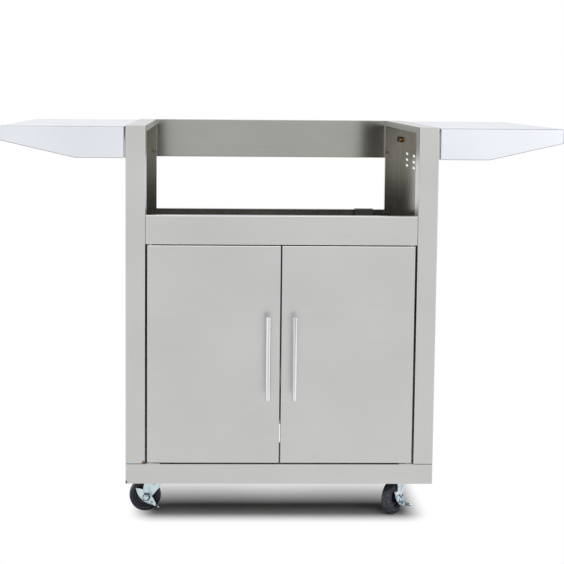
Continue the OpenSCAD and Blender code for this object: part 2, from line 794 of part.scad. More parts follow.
module shelf_studs(side) {
    color([0.7, 0.71, 0.72]) placed() on_side(side) at_both_ends(shelf_d) {
        rod_y(fold_d / 2, sheet_t, stud_l, fold_x, fold_z);
        rod_y(guide_d / 2, sheet_t, stud_l - 2, fold_x + guide_at[0], fold_z + guide_at[1]);
    }
}

module shelf_stud_nuts(side) {
    face = ear_in + bracket_t + pass;
    color([0.7, 0.71, 0.72]) placed() on_side(side) at_both_ends(shelf_d) {
        translate([fold_x, face, fold_z]) rotate([-90, 0, 0])
            hex_nut(bolt_nut_af, fold_nut_h, fold_d / 2 + fit);
        translate([fold_x + guide_at[0], face, fold_z + guide_at[1]]) rotate([-90, 0, 0])
            hex_nut(guide_nut_af, guide_nut_h, guide_d / 2 + fit);
    }
}

module left_shelf_top() shelf_top(LEFT);
module right_shelf_top() shelf_top(RIGHT);
module left_shelf_studs() shelf_studs(LEFT);
module right_shelf_studs() shelf_studs(RIGHT);
module left_shelf_stud_nuts() shelf_stud_nuts(LEFT);
module right_shelf_stud_nuts() shelf_stud_nuts(RIGHT);

// The ear's outline about the fold axis, with the arc slot in which the guide stud travels
module bracket_ear() {
    reach = ear_r + over;
    wedge = [for (a = [guide_angle - 90, guide_angle - 45, guide_angle]) 2 * reach * [cos(a), sin(a)]];
    difference() {
        intersection() {
            circle(r = ear_r, $fn = 96);
            translate([side_x - fold_x, -ear_low]) square([2 * ear_r, ear_low + ear_r]);
        }
        circle(r = fold_d / 2 + fit);
        intersection() {
            difference() {
                circle(r = guide_r + slot_r, $fn = 96);
                circle(r = guide_r - slot_r, $fn = 96);
            }
            polygon(concat([[0, 0]], wedge));
        }
        for (a = [guide_angle - 90, guide_angle])
            translate(guide_r * [cos(a), sin(a)]) circle(r = slot_r);
    }
}

module shelf_brackets() {
    corner_r = 4;
    color([0.72, 0.72, 0.72]) placed() for (side = [LEFT, RIGHT]) on_side(side) at_both_ends(shelf_d)
        difference() {
            union() {
                translate([fold_x, 0, fold_z]) along_y(ear_in, ear_in + bracket_t) bracket_ear();
                along_x(side_x, side_x + bracket_t) round_rect([ear_in, fold_z - ear_low],
                    [ear_in + leg_l, fold_z + ear_r - corner_r], [0, corner_r, corner_r, 0]);
            }
            rod_x(bolt_d / 2 + hole_fit, side_x - over, side_x + bracket_t + over, bracket_bolt_in,
                shelf_z - bracket_bolt_drop);
        }
}

// Button-headed bolts with their nuts inside the side panels
module shelf_bracket_bolts() {
    head = side_x + bracket_t;
    reach = bracket_t + sheet_t + bolt_nut_h + thread_end;
    color([0.68, 0.66, 0.6]) placed() for (side = [LEFT, RIGHT]) on_side(side) at_both_ends(shelf_d)
        translate([head, bracket_bolt_in, shelf_z - bracket_bolt_drop]) rotate([0, 90, 0]) union() {
            dome_head(button_head_d, button_head_h);
            translate([0, 0, -reach]) cylinder(h = reach + over, d = bolt_d);
            translate([0, 0, -bracket_t - sheet_t - bolt_nut_h])
                rotate([0, 0, 30]) cylinder(h = bolt_nut_h, d = bolt_nut_af / cos(30), $fn = 6);
        }
}

// Casters, drawn with the swivel axis at the origin and the wheel trailing along +X

module at_caster(place) {
    placed() translate([place[0], place[1], 0]) rotate([0, 0, place[2]]) children();
}

// Plates keep square to the cart whichever way the wheel trails
module caster_plates() {
    cup_r = 27;
    cup_in = 14;
    wall = 2;
    corner_r = 6;
    low = race_z + race_gap;
    plate_z = caster_h - plate_t;
    color([0.7, 0.74, 0.78]) placed() for (place = CASTERS) translate([place[0], place[1], 0]) difference() {
        union() {
            translate([0, 0, plate_z]) linear_extrude(plate_t)
                round_rect([-plate_w, -plate_l] / 2, [plate_w, plate_l] / 2, corner_r * [1, 1, 1, 1]);
            rotate_extrude() polygon([[cup_in, low + wall], [cup_in + wall, low], [cup_r - wall, low],
                [cup_r, low + wall], [cup_r, plate_z], [cup_in, plate_z]]);
        }
        rod_z(kingpin_d / 2 + fit, plate_z - over, caster_h + over, 0, 0);
        for (dx = [-1, 1], dy = [-1, 1])
            rod_z(bolt_d / 2 + hole_fit, plate_z - over, caster_h + over,
                dx * plate_pitch_w / 2, dy * plate_pitch_l / 2);
    }
}

// Kingpins riveted through the plates, each with the ring of balls that the fork turns on
module caster_kingpins() {
    head_r = 9;
    head_h = 3.6;
    edge = 1;
    ring_r = 20;
    plate_z = caster_h - plate_t;
    head_top = crown_z - pass;
    color([0.7, 0.74, 0.78]) placed() for (place = CASTERS) translate([place[0], place[1], 0]) {
        rotate_extrude() polygon([[0, head_top - head_h], [head_r - edge, head_top - head_h],
            [head_r, head_top - head_h + edge], [head_r, head_top], [kingpin_d / 2, head_top],
            [kingpin_d / 2, race_z + race_gap / 2], [head_r, race_z + race_gap], [head_r, plate_z],
            [kingpin_d / 2, plate_z], [kingpin_d / 2, caster_h], [0, caster_h]]);
        translate([0, 0, race_z + race_gap / 2]) rotate_extrude()
            translate([ring_r, 0]) circle(r = race_gap / 2 - 0.1, $fn = 16);
    }
}

// Hex bolts up through the plates and channels, with their nuts inside the channels
module caster_bolts() {
    low = caster_h - plate_t - bolt_head_h;
    nut_z = caster_h + fork_t;
    end_z = nut_z + bolt_nut_h + thread_end;
    color([0.7, 0.72, 0.74]) placed() for (place = CASTERS, dx = [-1, 1], dy = [-1, 1])
        translate([place[0] + dx * plate_pitch_w / 2, place[1] + dy * plate_pitch_l / 2, 0]) union() {
            translate([0, 0, low]) cylinder(h = bolt_head_h, d = bolt_nut_af / cos(30), $fn = 6);
            translate([0, 0, low + over]) cylinder(h = end_z - low - over, d = bolt_d);
            translate([0, 0, nut_z]) cylinder(h = bolt_nut_h, d = bolt_nut_af / cos(30), $fn = 6);
        }
}

// Points where the tangents from a point touch the leg's end about the axle
function touch_angle(at, centre, r, turn) =
    let (to = at - centre) atan2(to[1], to[0]) + turn * acos(r / norm(to));

module fork_side() {
    axle = [caster_lead, axle_z];
    rear = [crown_r, race_z];
    front = [-crown_r, race_z];
    a0 = touch_angle(front, axle, leg_r, 1);
    a1 = touch_angle(rear, axle, leg_r, -1) + 360;
    polygon(concat([front], [for (i = [0:16]) axle + leg_r * [cos(a0 + (a1 - a0) * i / 16),
        sin(a0 + (a1 - a0) * i / 16)]], [rear]));
}

// A stamped fork: a folded U section trimmed to the legs' tapering outline
module fork(place) {
    outer = leg_out;
    inner = fork_gap / 2;
    low = axle_z - leg_r - over;
    r = 7;
    color([0.72, 0.78, 0.82]) at_caster(place) difference() {
        intersection() {
            along_x(-crown_r - over, caster_lead + leg_r + over) difference() {
                round_rect([-outer, low], [outer, race_z], [0, 0, r, r]);
                round_rect([-inner, low - over], [inner, crown_z], [0, 0, r - fork_t, r - fork_t]);
            }
            along_y(-outer - over, outer + over) fork_side();
            translate([0, 0, low]) linear_extrude(race_z + over - low)
                round_rect([-crown_r, -outer - over], [caster_lead + leg_r + over, outer + over],
                    [outer, 0, 0, outer]);
        }
        rod_z(kingpin_d / 2 + fit, crown_z - over, race_z + over, 0, 0);
        rod_y(bolt_d / 2 + fit, -outer - over, outer + over, caster_lead, axle_z);
    }
}

// Axle bolt with its spacer sleeve, hex head inboard and nut outboard of the brake lever
module axle(place, outboard) {
    head_y = -leg_out - bolt_head_h;
    nut_y = leg_out + outboard;
    color([0.72, 0.74, 0.76]) at_caster(place) translate([caster_lead, 0, axle_z]) union() {
        rod_y(bolt_d / 2, head_y + over, nut_y + bolt_nut_h + thread_end, 0, 0);
        rod_y(sleeve_d / 2, -fork_gap / 2, fork_gap / 2, 0, 0);
        translate([0, head_y + bolt_head_h, 0]) rotate([90, 0, 0])
            cylinder(h = bolt_head_h, d = bolt_nut_af / cos(30), $fn = 6);
        translate([0, nut_y + bolt_nut_h, 0]) rotate([90, 0, 0])
            cylinder(h = bolt_nut_h, d = bolt_nut_af / cos(30), $fn = 6);
    }
}

module wheel_hub(place) {
    boss_r = 10;
    boss_w = fork_gap / 2 - pass;
    web_w = 5;
    rim_w = wheel_w / 2 - 3;
    rim = 4;
    draft = 1;
    color([0.13, 0.13, 0.15]) at_caster(place) translate([caster_lead, 0, axle_z]) rotate([90, 0, 0])
        rotate_extrude($fn = 72) polygon([[sleeve_d / 2 + fit, -boss_w], [boss_r, -boss_w],
            [boss_r + draft, -web_w], [hub_r - rim - draft, -web_w], [hub_r - rim, -rim_w], [hub_r, -rim_w],
            [hub_r, rim_w], [hub_r - rim, rim_w], [hub_r - rim - draft, web_w], [boss_r + draft, web_w],
            [boss_r, boss_w], [sleeve_d / 2 + fit, boss_w]]);
}

module tyre(place) {
    half = wheel_w / 2;
    r = wheel_d / 2;
    bead = 1.5;
    bead_r = 1;
    shoulder = 6;
    crown = 5;
    shoulder_r = 3;
    color([0.17, 0.17, 0.2]) at_caster(place) translate([caster_lead, 0, axle_z]) rotate([90, 0, 0])
        rotate_extrude($fn = 96) polygon(rounded([[hub_r, -half + bead], [hub_r + 2 * bead, -half],
            [r - shoulder, -half], [r, -half + crown], [r, half - crown], [r - shoulder, half],
            [hub_r + 2 * bead, half], [hub_r, half - bead]],
            [0, bead_r, shoulder_r, shoulder_r, shoulder_r, shoulder_r, bead_r, 0]));
}

// A lens-shaped plate dished round the axle, with a foot tab bent outwards at its lower end
module brake_lever(place) {
    bow_r = (pow(lever_l / 2, 2) + pow(lever_w / 2, 2)) / lever_w;
    dish_r = lever_w / 2 + 1;
    dish_h = 5;
    dish_open = 8.5;
    hole_r = 2.6;
    hole_x = lever_l / 2 - 11.5;
    tab_from = hole_x + hole_r + 0.5;
    tab_root = 6;
    tab_to = lever_l / 2 + 4;
    edge = 1;
    color([0.74, 0.8, 0.85]) at_caster(place) translate([caster_lead, leg_out + pass, axle_z])
        rotate([-90, 0, 0]) rotate([0, 0, 180 - lever_angle]) union() {
            linear_extrude(lever_t) difference() {
                intersection() {
                    translate([0, bow_r - lever_w / 2]) circle(r = bow_r, $fn = 160);
                    translate([0, lever_w / 2 - bow_r]) circle(r = bow_r, $fn = 160);
                }
                circle(r = bolt_d / 2 + fit);
                translate([hole_x, 0]) circle(r = hole_r);
            }
            rotate_extrude() polygon([[dish_open + 2, 0], [dish_r, 0], [dish_r, lever_t],
                [dish_open + lever_t, dish_h], [dish_open, dish_h], [dish_open, dish_h - lever_t / 2],
                [dish_open + 2, lever_t]]);
            along_y(tab_shift - tab_w / 2, tab_shift + tab_w / 2) polygon([
                [tab_from, 0], [tab_from + tab_root, 0], [tab_to, tab_out],
                [tab_to + edge, tab_out + edge], [tab_to - edge, tab_out + 2 * edge],
                [tab_from + tab_root - 2 * edge, lever_t + edge], [tab_from, lever_t]]);
        }
}

module front_left_fork() fork(FRONT_LEFT);
module front_left_axle() axle(FRONT_LEFT, lever_t + 2 * pass);
module front_left_wheel_hub() wheel_hub(FRONT_LEFT);
module front_left_tyre() tyre(FRONT_LEFT);
module front_left_brake_lever() brake_lever(FRONT_LEFT);
module front_right_fork() fork(FRONT_RIGHT);
module front_right_axle() axle(FRONT_RIGHT, lever_t + 2 * pass);
module front_right_wheel_hub() wheel_hub(FRONT_RIGHT);
module front_right_tyre() tyre(FRONT_RIGHT);
module front_right_brake_lever() brake_lever(FRONT_RIGHT);
module rear_left_fork() fork(REAR_LEFT);
module rear_left_axle() axle(REAR_LEFT, 0);
module rear_left_wheel_hub() wheel_hub(REAR_LEFT);
module rear_left_tyre() tyre(REAR_LEFT);
module rear_right_fork() fork(REAR_RIGHT);
module rear_right_axle() axle(REAR_RIGHT, 0);
module rear_right_wheel_hub() wheel_hub(REAR_RIGHT);
module rear_right_tyre() tyre(REAR_RIGHT);

base_pan();
caster_channels();
left_side_panel();
right_side_panel();
front_panel();
rear_upper_panel();
rear_lower_panel();
hose_edge_guard();
panel_screws();
panel_nuts();
front_panel_screws();
front_panel_nuts();
side_panel_bolts();
catch_housings();
catch_magnets();
door_hinge_plates();
door_hinge_washers();
shelf_brackets();
shelf_bracket_bolts();
caster_plates();
caster_kingpins();
caster_bolts();
left_door_skin();
left_door_liner();
left_door_pivot_pins();
left_door_strike();
left_handle_bar();
left_handle_posts();
right_door_skin();
right_door_liner();
right_door_pivot_pins();
right_door_strike();
right_handle_bar();
right_handle_posts();
left_shelf_top();
left_shelf_studs();
left_shelf_stud_nuts();
right_shelf_top();
right_shelf_studs();
right_shelf_stud_nuts();
front_left_fork();
front_left_axle();
front_left_wheel_hub();
front_left_tyre();
front_left_brake_lever();
front_right_fork();
front_right_axle();
front_right_wheel_hub();
front_right_tyre();
front_right_brake_lever();
rear_left_fork();
rear_left_axle();
rear_left_wheel_hub();
rear_left_tyre();
rear_right_fork();
rear_right_axle();
rear_right_wheel_hub();
rear_right_tyre();
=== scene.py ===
"""Finishes, hardware, casters and stage for a wheeled stainless-steel pizza oven cart."""

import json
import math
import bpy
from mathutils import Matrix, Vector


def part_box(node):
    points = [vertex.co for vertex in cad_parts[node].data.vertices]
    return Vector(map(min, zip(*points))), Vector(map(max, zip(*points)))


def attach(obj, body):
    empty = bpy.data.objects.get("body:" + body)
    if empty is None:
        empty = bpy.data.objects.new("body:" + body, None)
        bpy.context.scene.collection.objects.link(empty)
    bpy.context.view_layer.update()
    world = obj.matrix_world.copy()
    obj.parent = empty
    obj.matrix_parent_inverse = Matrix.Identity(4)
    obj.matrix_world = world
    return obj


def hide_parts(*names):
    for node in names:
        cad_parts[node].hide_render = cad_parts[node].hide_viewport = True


bl_info = {
    "name": "Pizza Oven Cart",
    "version": (1, 0, 0),
    "blender": (4, 5, 0),
    "location": "3D View > Sidebar > Cart",
    "description": "Sheet finishes, hardware, casters and stage for a pizza oven cart",
    "category": "Object",
}

from functools import partial

import bmesh
import bpy
import numpy as np
from bpy.props import FloatProperty, FloatVectorProperty, IntProperty, PointerProperty
from bpy.types import Operator, Panel, PropertyGroup
from mathutils import Matrix, Vector
from mathutils.geometry import convex_hull_2d, delaunay_2d_cdt

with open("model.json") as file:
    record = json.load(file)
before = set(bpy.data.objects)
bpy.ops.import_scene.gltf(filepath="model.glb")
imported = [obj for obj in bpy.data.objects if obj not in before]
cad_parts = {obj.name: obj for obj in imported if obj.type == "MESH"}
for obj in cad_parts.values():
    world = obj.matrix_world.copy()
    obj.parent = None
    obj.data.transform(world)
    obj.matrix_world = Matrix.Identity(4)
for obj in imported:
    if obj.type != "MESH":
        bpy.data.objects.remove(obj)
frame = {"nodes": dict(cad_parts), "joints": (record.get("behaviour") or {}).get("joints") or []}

MM = 0.001
X, Y, Z = range(3)
SIDES = ("left", "right")
FRONT_CASTERS = ("front_left", "front_right")
CASTERS = FRONT_CASTERS + ("rear_left", "rear_right")
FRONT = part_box("left_door_skin")[0].y  # the plane of the doors' faces
PLACES = {joint["name"]: joint["pos_m"] for joint in frame["joints"]}
SHARP = math.radians(34)  # edges sharper than this stay crisp
# Where a fold is, the sheets get a painted highlight or a painted shade
FOLD = 0.985, 0.93  # how far along one axis a normal points where a fold starts, and well inside it
MOSTLY = 0.9  # a direction with this much along an axis counts as along it
WELD = 1e-6  # corners nearer than this are one
BEHIND = 0.1, 10.0, 10.0  # far behind and above: flat plates turn their mill faces towards it

# Fasteners: heights of the button heads, and hex heads and nuts as (width across flats, height)
BUTTON_HEAD, BRACKET_HEAD, HEX_HEAD = 2.5 * MM, 4 * MM, (13 * MM, 5.3 * MM)
SMALL_NUT, BIG_NUT = (8 * MM, 4 * MM), (13 * MM, 6.5 * MM)
CASTER_BOLT = 8 * MM  # width of the shank
STAND_OUT = 2.5 * MM  # how far a big bolt's end stands out of its nut
SLEEVE = 6 * MM, 15 * MM  # radius and half length of an axle's spacer sleeve
NEAR_END = 1.5 * MM  # corners this near to a screw's end tell its width there

# The photo's view: the camera's place, its yaw, pitch and roll in degrees, and its lens shift
CAMERA_AT, CAMERA_TURN, CAMERA_SHIFT = (-0.16, -3.05, 1.0214), (1.12, 4.854, 0.43), (0.08, -0.165)


def linear(code):
    """Linear RGB of an sRGB hex code."""
    values = [int(code[i:i + 2], 16) / 255 for i in (0, 2, 4)]
    return tuple(v / 12.92 if v <= 0.04045 else ((v + 0.055) / 1.055) ** 2.4 for v in values)


# Sizes and colours

def field(kind, name, description, default, **limits):
    return kind(name=name, description=description, default=default, **limits)


def colour(name, description, code):
    return field(FloatVectorProperty, name, description, linear(code), subtype="COLOR", size=3, min=0, max=1)


length = partial(field, FloatProperty, min=0, unit="LENGTH")
share = partial(field, FloatProperty, min=0, max=1, subtype="FACTOR")
light = partial(field, FloatProperty, min=0)


class SheetLook(PropertyGroup):
    brushed: colour("Brushed steel", "Outer faces of the body and the doors", "C6C6C5")
    mill: colour("Mill steel", "Inner faces of the folded sheets, as rolled", "A0A09A")
    dull: colour("Dull mill steel", "Inner faces of the side panels and the lower back", "A6A39B")
    satin: colour("Satin steel", "Outer faces of the side shelves", "E4E7ED")
    # edge is painted shade: a darker line drawn along a shelf's cut edges on its front face
    edge: colour("Edge line", "Line that a shelf's cut edges draw round its front face", "A4A5A5")
    seam: colour("Seam", "Shadow of the joint between the columns and the base", "45413D")
    edge_line: length("Edge line width", "Width of the line along a cut edge", 0.0018)
    tint: colour("Heat tint", "Brown colour beside the corner welds", "765A3E")
    brushed_roughness: share("Brushed roughness", "Roughness of the brushed faces", 0.3)
    mill_roughness: share("Mill roughness", "Roughness of the mill faces", 0.14)
    dull_roughness: share("Dull mill roughness", "Roughness of the dull mill faces", 0.22)
    satin_roughness: share("Satin roughness", "Roughness of the shelves", 0.4)
    grain_width: length("Grain width", "Width of a brush mark", 0.0011)
    grain_length: length("Grain length", "Length of a brush mark", 0.09)
    grain_tone: share("Grain tone", "How much a brush mark changes the sheet's lightness", 0.05)
    band_tone: share("Band tone", "How much a band of marks changes an outer face's lightness", 0.016)
    cloud_tone: share("Cloud tone", "How much the slow clouds change the sheet's lightness", 0.07)


class HardwareLook(PropertyGroup):
    plain: colour("Plain steel", "Screws, studs and pins", "A9A7A2")
    yellow: colour("Yellow zinc", "Nuts inside the body", "B08344")
    yellow_shade: colour("Yellow zinc, dark", "Thinner plating in the nuts' corners", "4A3216")
    thread_pitch: length("Thread pitch", "Pitch of the threads", 0.00125)
    thread_depth: share("Thread depth", "Depth of the threads as a share of the radius", 0.14)


class HandleLook(PropertyGroup):
    polished: colour("Polished steel", "Handle bars and posts", "ECECEC")
    drawn: colour("Drawn lines", "Long marks left in the rod where it was drawn", "B4B5BB")
    end_round: length("Rounding", "Rounding of the handle bars' ends", 0.0016)


class CatchLook(PropertyGroup):
    plastic: colour("Black plastic", "Door catches", "262628")
    magnet: colour("Magnet", "Pole plates of the door catches", "8C8A86")
    nylon: colour("Nylon", "Washers under the doors", "E4E2DA")
    rubber: colour("Guard rubber", "Edge guard where the hose passes", "5D5F5B")
    strike: colour("Strike plate", "Zinc-plated strikes on the doors", "B9BEC0")
    strike_shade: colour("Strike plate, dark", "Thinner plating on the strikes", "8F9698")


class CasterLook(PropertyGroup):
    zinc: colour("Bright zinc", "Caster forks, plates and brake levers", "C9D7DE")
    zinc_shade: colour("Bright zinc, dark", "Passivated zinc in the hollows", "6F8C97")
    balls: field(IntProperty, "Balls", "Balls in each swivel ring", 22, min=3, max=96)
    ball: length("Ball diameter", "Diameter of a swivel ball", 0.0042)
    ball_ring: length("Ball ring radius", "Radius of the circle that the balls run on", 0.020)
    lever_length: length("Lever length", "Length of the brake lever's plate", 0.066)
    lever_width: length("Lever width", "Width of the brake lever's plate", 0.0225)
    lever_sheet: length("Lever thickness", "Thickness of the brake lever's sheet", 0.002)
    lever_angle: field(FloatProperty, "Lever angle", "How far the lever's foot end points down",
                       math.radians(43), unit="ROTATION")
    dish: length("Dish radius", "Outer radius of the dish stamped round the axle", 0.0108)
    dish_height: length("Dish height", "How far the dish stands out from the lever", 0.003)


class WheelLook(PropertyGroup):
    tyre: colour("Tyre", "Hard rubber of the tyres", "22283A")
    dusty: colour("Dusty tread", "Rubber of the tread below its dust", "34363F")
    dust: colour("Dust", "Dust in the scuffs of the tread", "A4A6AE")
    hub: colour("Hub", "Moulded plastic hubs", "0D111E")
    ring: length("Moulding ring", "Height of the rings moulded on a tyre's side", 0.0004)
    tread: length("Tread", "Radius past which the tyre's skin is dusty", 0.0365)


class StageLook(PropertyGroup):
    # The floor's grey, seen only below the cart, is painted shade that deepens the shadow there
    floor: colour("Floor", "Floor in the shadow below the cart", "C2C2C2")
    sky: light("Fill light", "Strength of the white room's upper part for diffuse light", 1.0)
    horizon: light("Low fill light", "Strength of the white room near the floor for diffuse light", 0.05)
    top_lamp: light("Top lamp", "Radiance of the lamp above the front", 0.9)
    side_lamp: light("Side lamps", "Radiance of the two side lamps", 1.1)
    front_lamp: light("Front lamp", "Radiance of the lamp at the right of the front", 1.2)
    fade: length("Fade", "Width of the shadow's soft edge round the cart", 0.075)
    band: length("Band", "How far the dark of the shadow reaches in from its edge", 0.06)
    # A painted pool of light: below the middle of the cart the floor turns white for the camera
    pool: share("Pool", "How white the floor is below the middle of the cart", 0.8)
    lens: field(FloatProperty, "Lens", "Focal length of the camera, in millimetres", 76.93, min=10, max=300)


# Materials

# A mix has its factor at 0, its numbers at 2 and 3, its colours at 6 and 7, and their result at output 2
MATH, VECTOR, MIX, RANGE = "ShaderNodeMath", "ShaderNodeVectorMath", "ShaderNodeMix", "ShaderNodeMapRange"
SPLIT, JOIN, COORDS = "ShaderNodeSeparateXYZ", "ShaderNodeCombineXYZ", "ShaderNodeTexCoord"


def add(tree, kind, inputs=(), out=0, **settings):
    """Adds a node and gives one of its outputs.

    inputs are values, or the sockets that feed it, in order or as a dict by name or number. A colour of
    three numbers gets its alpha here."""
    made = tree.nodes.new(kind)
    for name, value in settings.items():
        setattr(made, name, value)
    for key, value in inputs.items() if isinstance(inputs, dict) else enumerate(inputs):
        socket = made.inputs[key]
        if isinstance(value, bpy.types.NodeSocket):
            tree.links.new(value, socket)
        else:
            socket.default_value = (*value, 1) if socket.type == "RGBA" and len(value) == 3 else value
    return made.outputs[out]


def texture(tree, place, size, detail=2.0, roughness=0.5):
    """A random pattern from 0 to 1 with marks size millimetres long, all ways or along each axis."""
    sizes = size if isinstance(size, (list, tuple)) else [size] * 3
    steps = add(tree, VECTOR, (place, [s * MM for s in sizes]), operation="DIVIDE")
    return add(tree, "ShaderNodeTexNoise", {
        "Vector": steps, "Scale": 1.0, "Detail": detail, "Roughness": roughness})


def about(tree, value, middle, reach):
    """A texture's 0 to 1 turned into middle plus or minus reach."""
    return add(tree, MATH, (value, 2 * reach, middle - reach), operation="MULTIPLY_ADD")


def new_material(name, metallic, roughness, base):
    """A material with plain values, as (material, its tree, the place on the object)."""
    made = bpy.data.materials.new(name)
    made.use_nodes = True
    shader = made.node_tree.nodes["Principled BSDF"]
    for key, value in (("Metallic", metallic), ("Roughness", roughness), ("Base Color", (*base, 1))):
        shader.inputs[key].default_value = value
    made.diffuse_color = (*base, 1)
    return made, made.node_tree, add(made.node_tree, COORDS, out="Object")


def feed(made, base, roughness, *heights):
    """Links colour, roughness and heights to a material's shader, and returns the material.

    Each height is (texture, millimetres at its highest), and they add up."""
    tree, height = made.node_tree, 0.0
    for value, highest in heights:
        height = add(tree, MATH, (value, highest * MM, height), operation="MULTIPLY_ADD")
    bump = add(tree, "ShaderNodeBump", {"Height": height, "Strength": 1.0, "Distance": 1.0})
    for key, value in (("Base Color", base), ("Roughness", roughness), ("Normal", bump)):
        tree.links.new(value, tree.nodes["Principled BSDF"].inputs[key])
    return made


def mirrored(tree, here, facing):
    """A place and a direction on the object, with X counted outwards on both of its sides."""
    side = add(tree, MATH, [add(tree, SPLIT, [here], X)], operation="SIGN")
    mirror = add(tree, JOIN, (side, 1.0, 1.0))
    return [add(tree, VECTOR, (v, mirror), operation="MULTIPLY") for v in (here, facing)]


def heat_tinted(tree, here, base, spots, tint):
    """A base colour with ragged spots of tint."""
    for point, radius in spots:
        away = add(tree, VECTOR, (here, point), "Value", operation="DISTANCE")
        ragged = about(tree, texture(tree, here, 3), 0.0, 0.6 * radius)
        away = add(tree, MATH, (away, ragged), operation="ADD")
        share_in = add(tree, RANGE, (away, radius, 0.5 * radius))
        base = add(tree, MIX, {0: share_in, 6: base, 7: tint}, 2, data_type="RGBA")
    return base


def painted_edge_shade(tree, place, frontal, base, edges, width, line):
    """A base colour with lines of painted shade of a width along edges, where faces look to the front."""
    in_front = add(tree, MATH, (frontal, MOSTLY), operation="GREATER_THAN")
    for direction, reach in edges:
        away = add(tree, VECTOR, (place, direction), "Value", operation="DOT_PRODUCT")
        share_in = add(tree, RANGE, (away, reach - width, reach - 0.6 * width))
        share_in = add(tree, MATH, (share_in, in_front), operation="MULTIPLY")
        base = add(tree, MIX, {0: share_in, 6: base, 7: line}, 2, data_type="RGBA")
    return base


def sheet_material(name, look, middle, along, outside="brushed", inside="mill", streaks_and_painted_reflections=0.03, painted_fold_light=0.16,
                   spots=(), edges=(), edge_shade_colour="edge"):
    """Folded stainless sheet: a brushed or satin outer face, and a mill finish inside.

    The inner faces are those that look towards middle, a point inside the folded sheet whose X counts
    on both sides. The grain runs along X, Y or Z. It gives the eye the direction in which the sheet was
    brushed, and is drawn coarser than the real marks, which are finer than a pixel. A slow waviness of
    the sheet warps what it reflects. Its folds get a painted highlight, lighter than the faces by a share,
    or a painted shade where that share is below 0. On the inner faces the bands along the grain are faint
    streaks, and where their share is large, painted reflections. spots are (point, radius) of heat tint
    beside welds. edges are (direction, reach) of the straight edges of the front face, such as those from
    front_edges, along which a darker line is painted: painted shade along a shelf's cut edges, or the
    painted shadow of a joint. It's drawn wider than the real one, which is finer than a pixel."""
    outer, inner = getattr(look, outside), getattr(look, inside)
    roughness, inner_roughness = (getattr(look, side + "_roughness") for side in (outside, inside))
    made, tree, here = new_material(name, 1.0, roughness, outer)
    facing = add(tree, COORDS, out="Normal")
    place, facing_there = mirrored(tree, here, facing)
    from_middle = add(tree, VECTOR, (place, middle), operation="SUBTRACT")
    outward = add(tree, VECTOR, (from_middle, facing_there), "Value", operation="DOT_PRODUCT")
    is_inner = add(tree, MATH, (outward, 0.0), operation="LESS_THAN")

    grain = [look.grain_width / MM] * 3
    grain["XYZ".index(along)] = look.grain_length / MM
    fine = texture(tree, here, grain, 3.0, 0.65)
    bands = texture(tree, here, [9 * g for g in grain])  # each of them nine marks wide
    cloud = texture(tree, here, 210)
    smudge = texture(tree, here, (38, 38, 30), 4.0, 0.6)
    smudge = add(tree, RANGE, (smudge, 0.62, 0.78))  # patches that hands have dulled

    # On inner faces the bands get a stronger tone: faint streaks by default, and painted reflections on the
    # columns' inner faces
    band_tone = add(tree, MIX, {0: is_inner, 2: look.band_tone, 3: streaks_and_painted_reflections})
    lightness = add(tree, MATH, (about(tree, bands, 0.0, 1.0), band_tone), operation="MULTIPLY")
    faced = add(tree, SPLIT, [add(tree, VECTOR, [facing], operation="ABSOLUTE")]).node.outputs
    square = add(tree, MATH, (faced[X], faced[Y]), operation="MAXIMUM")
    square = add(tree, MATH, (square, faced[Z]), operation="MAXIMUM")
    # Folds get a painted highlight, or a painted shade where the share is below 0
    for tone in (about(tree, fine, 0.0, look.grain_tone), about(tree, cloud, 1.0, look.cloud_tone),
                 add(tree, RANGE, (square, *FOLD, 0.0, painted_fold_light))):
        lightness = add(tree, MATH, (lightness, tone), operation="ADD")
    base = add(tree, MIX, {0: is_inner, 6: outer, 7: inner}, 2, data_type="RGBA")
    base = add(tree, VECTOR, (base, add(tree, JOIN, [lightness] * 3)), operation="MULTIPLY")
    base = heat_tinted(tree, here, base, spots, look.tint)
    # Darker lines along the edges: painted shade along a shelf's cut edges, or the painted shadow of the
    # columns' joint with the base
    if edges:
        base = painted_edge_shade(tree, place, faced[Y], base, edges, look.edge_line, getattr(look, edge_shade_colour))
    rough = add(tree, MIX, {0: is_inner, 2: about(tree, fine, roughness, 0.05),
                            3: about(tree, fine, inner_roughness, 0.02)})
    rough = add(tree, MATH, (smudge, 0.05, rough), operation="MULTIPLY_ADD")
    return feed(made, base, rough, (fine, 0.004), (cloud, 0.5))


def front_edges(node):
    """The long cut edges of a node's front face, as (outward direction, reach) with X on both sides.

    Its top edge is a fold, and is left out."""
    front, flatness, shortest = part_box(node)[0].y, 0.1 * MM, 20 * MM
    flat = [Vector((abs(corner.co.x), corner.co.z)) for corner in frame["nodes"][node].data.vertices
            if abs(corner.co.y - front) < flatness]
    middle = sum(flat, Vector((0, 0))) / len(flat)
    hull = [flat[i] for i in convex_hull_2d(flat)]
    found = []
    for start, end in zip(hull, hull[1:] + hull[:1]):
        if (end - start).length > shortest:
            across = (end - start).orthogonal().normalized()
            if across.dot(start - middle) < 0:
                across = -across
            if across.y < MOSTLY:
                found.append(((across.x, 0, across.y), across.dot(start)))
    return found


def polished_material(look):
    """Polished stainless rod: bright, with thin dark lines along it that show it was drawn.

    The lines are drawn wider than the real ones, which are finer than a pixel."""
    made, tree, here = new_material("Polished stainless rod", 1.0, 0.12, look.polished)
    lines = texture(tree, here, (3.2, 3.2, 420), 1.0)
    share_in = add(tree, RANGE, (lines, 0.46, 0.66))
    return feed(made, add(tree, MIX, {0: share_in, 6: look.polished, 7: look.drawn}, 2, data_type="RGBA"),
                about(tree, lines, 0.13, 0.05), (lines, 0.08))


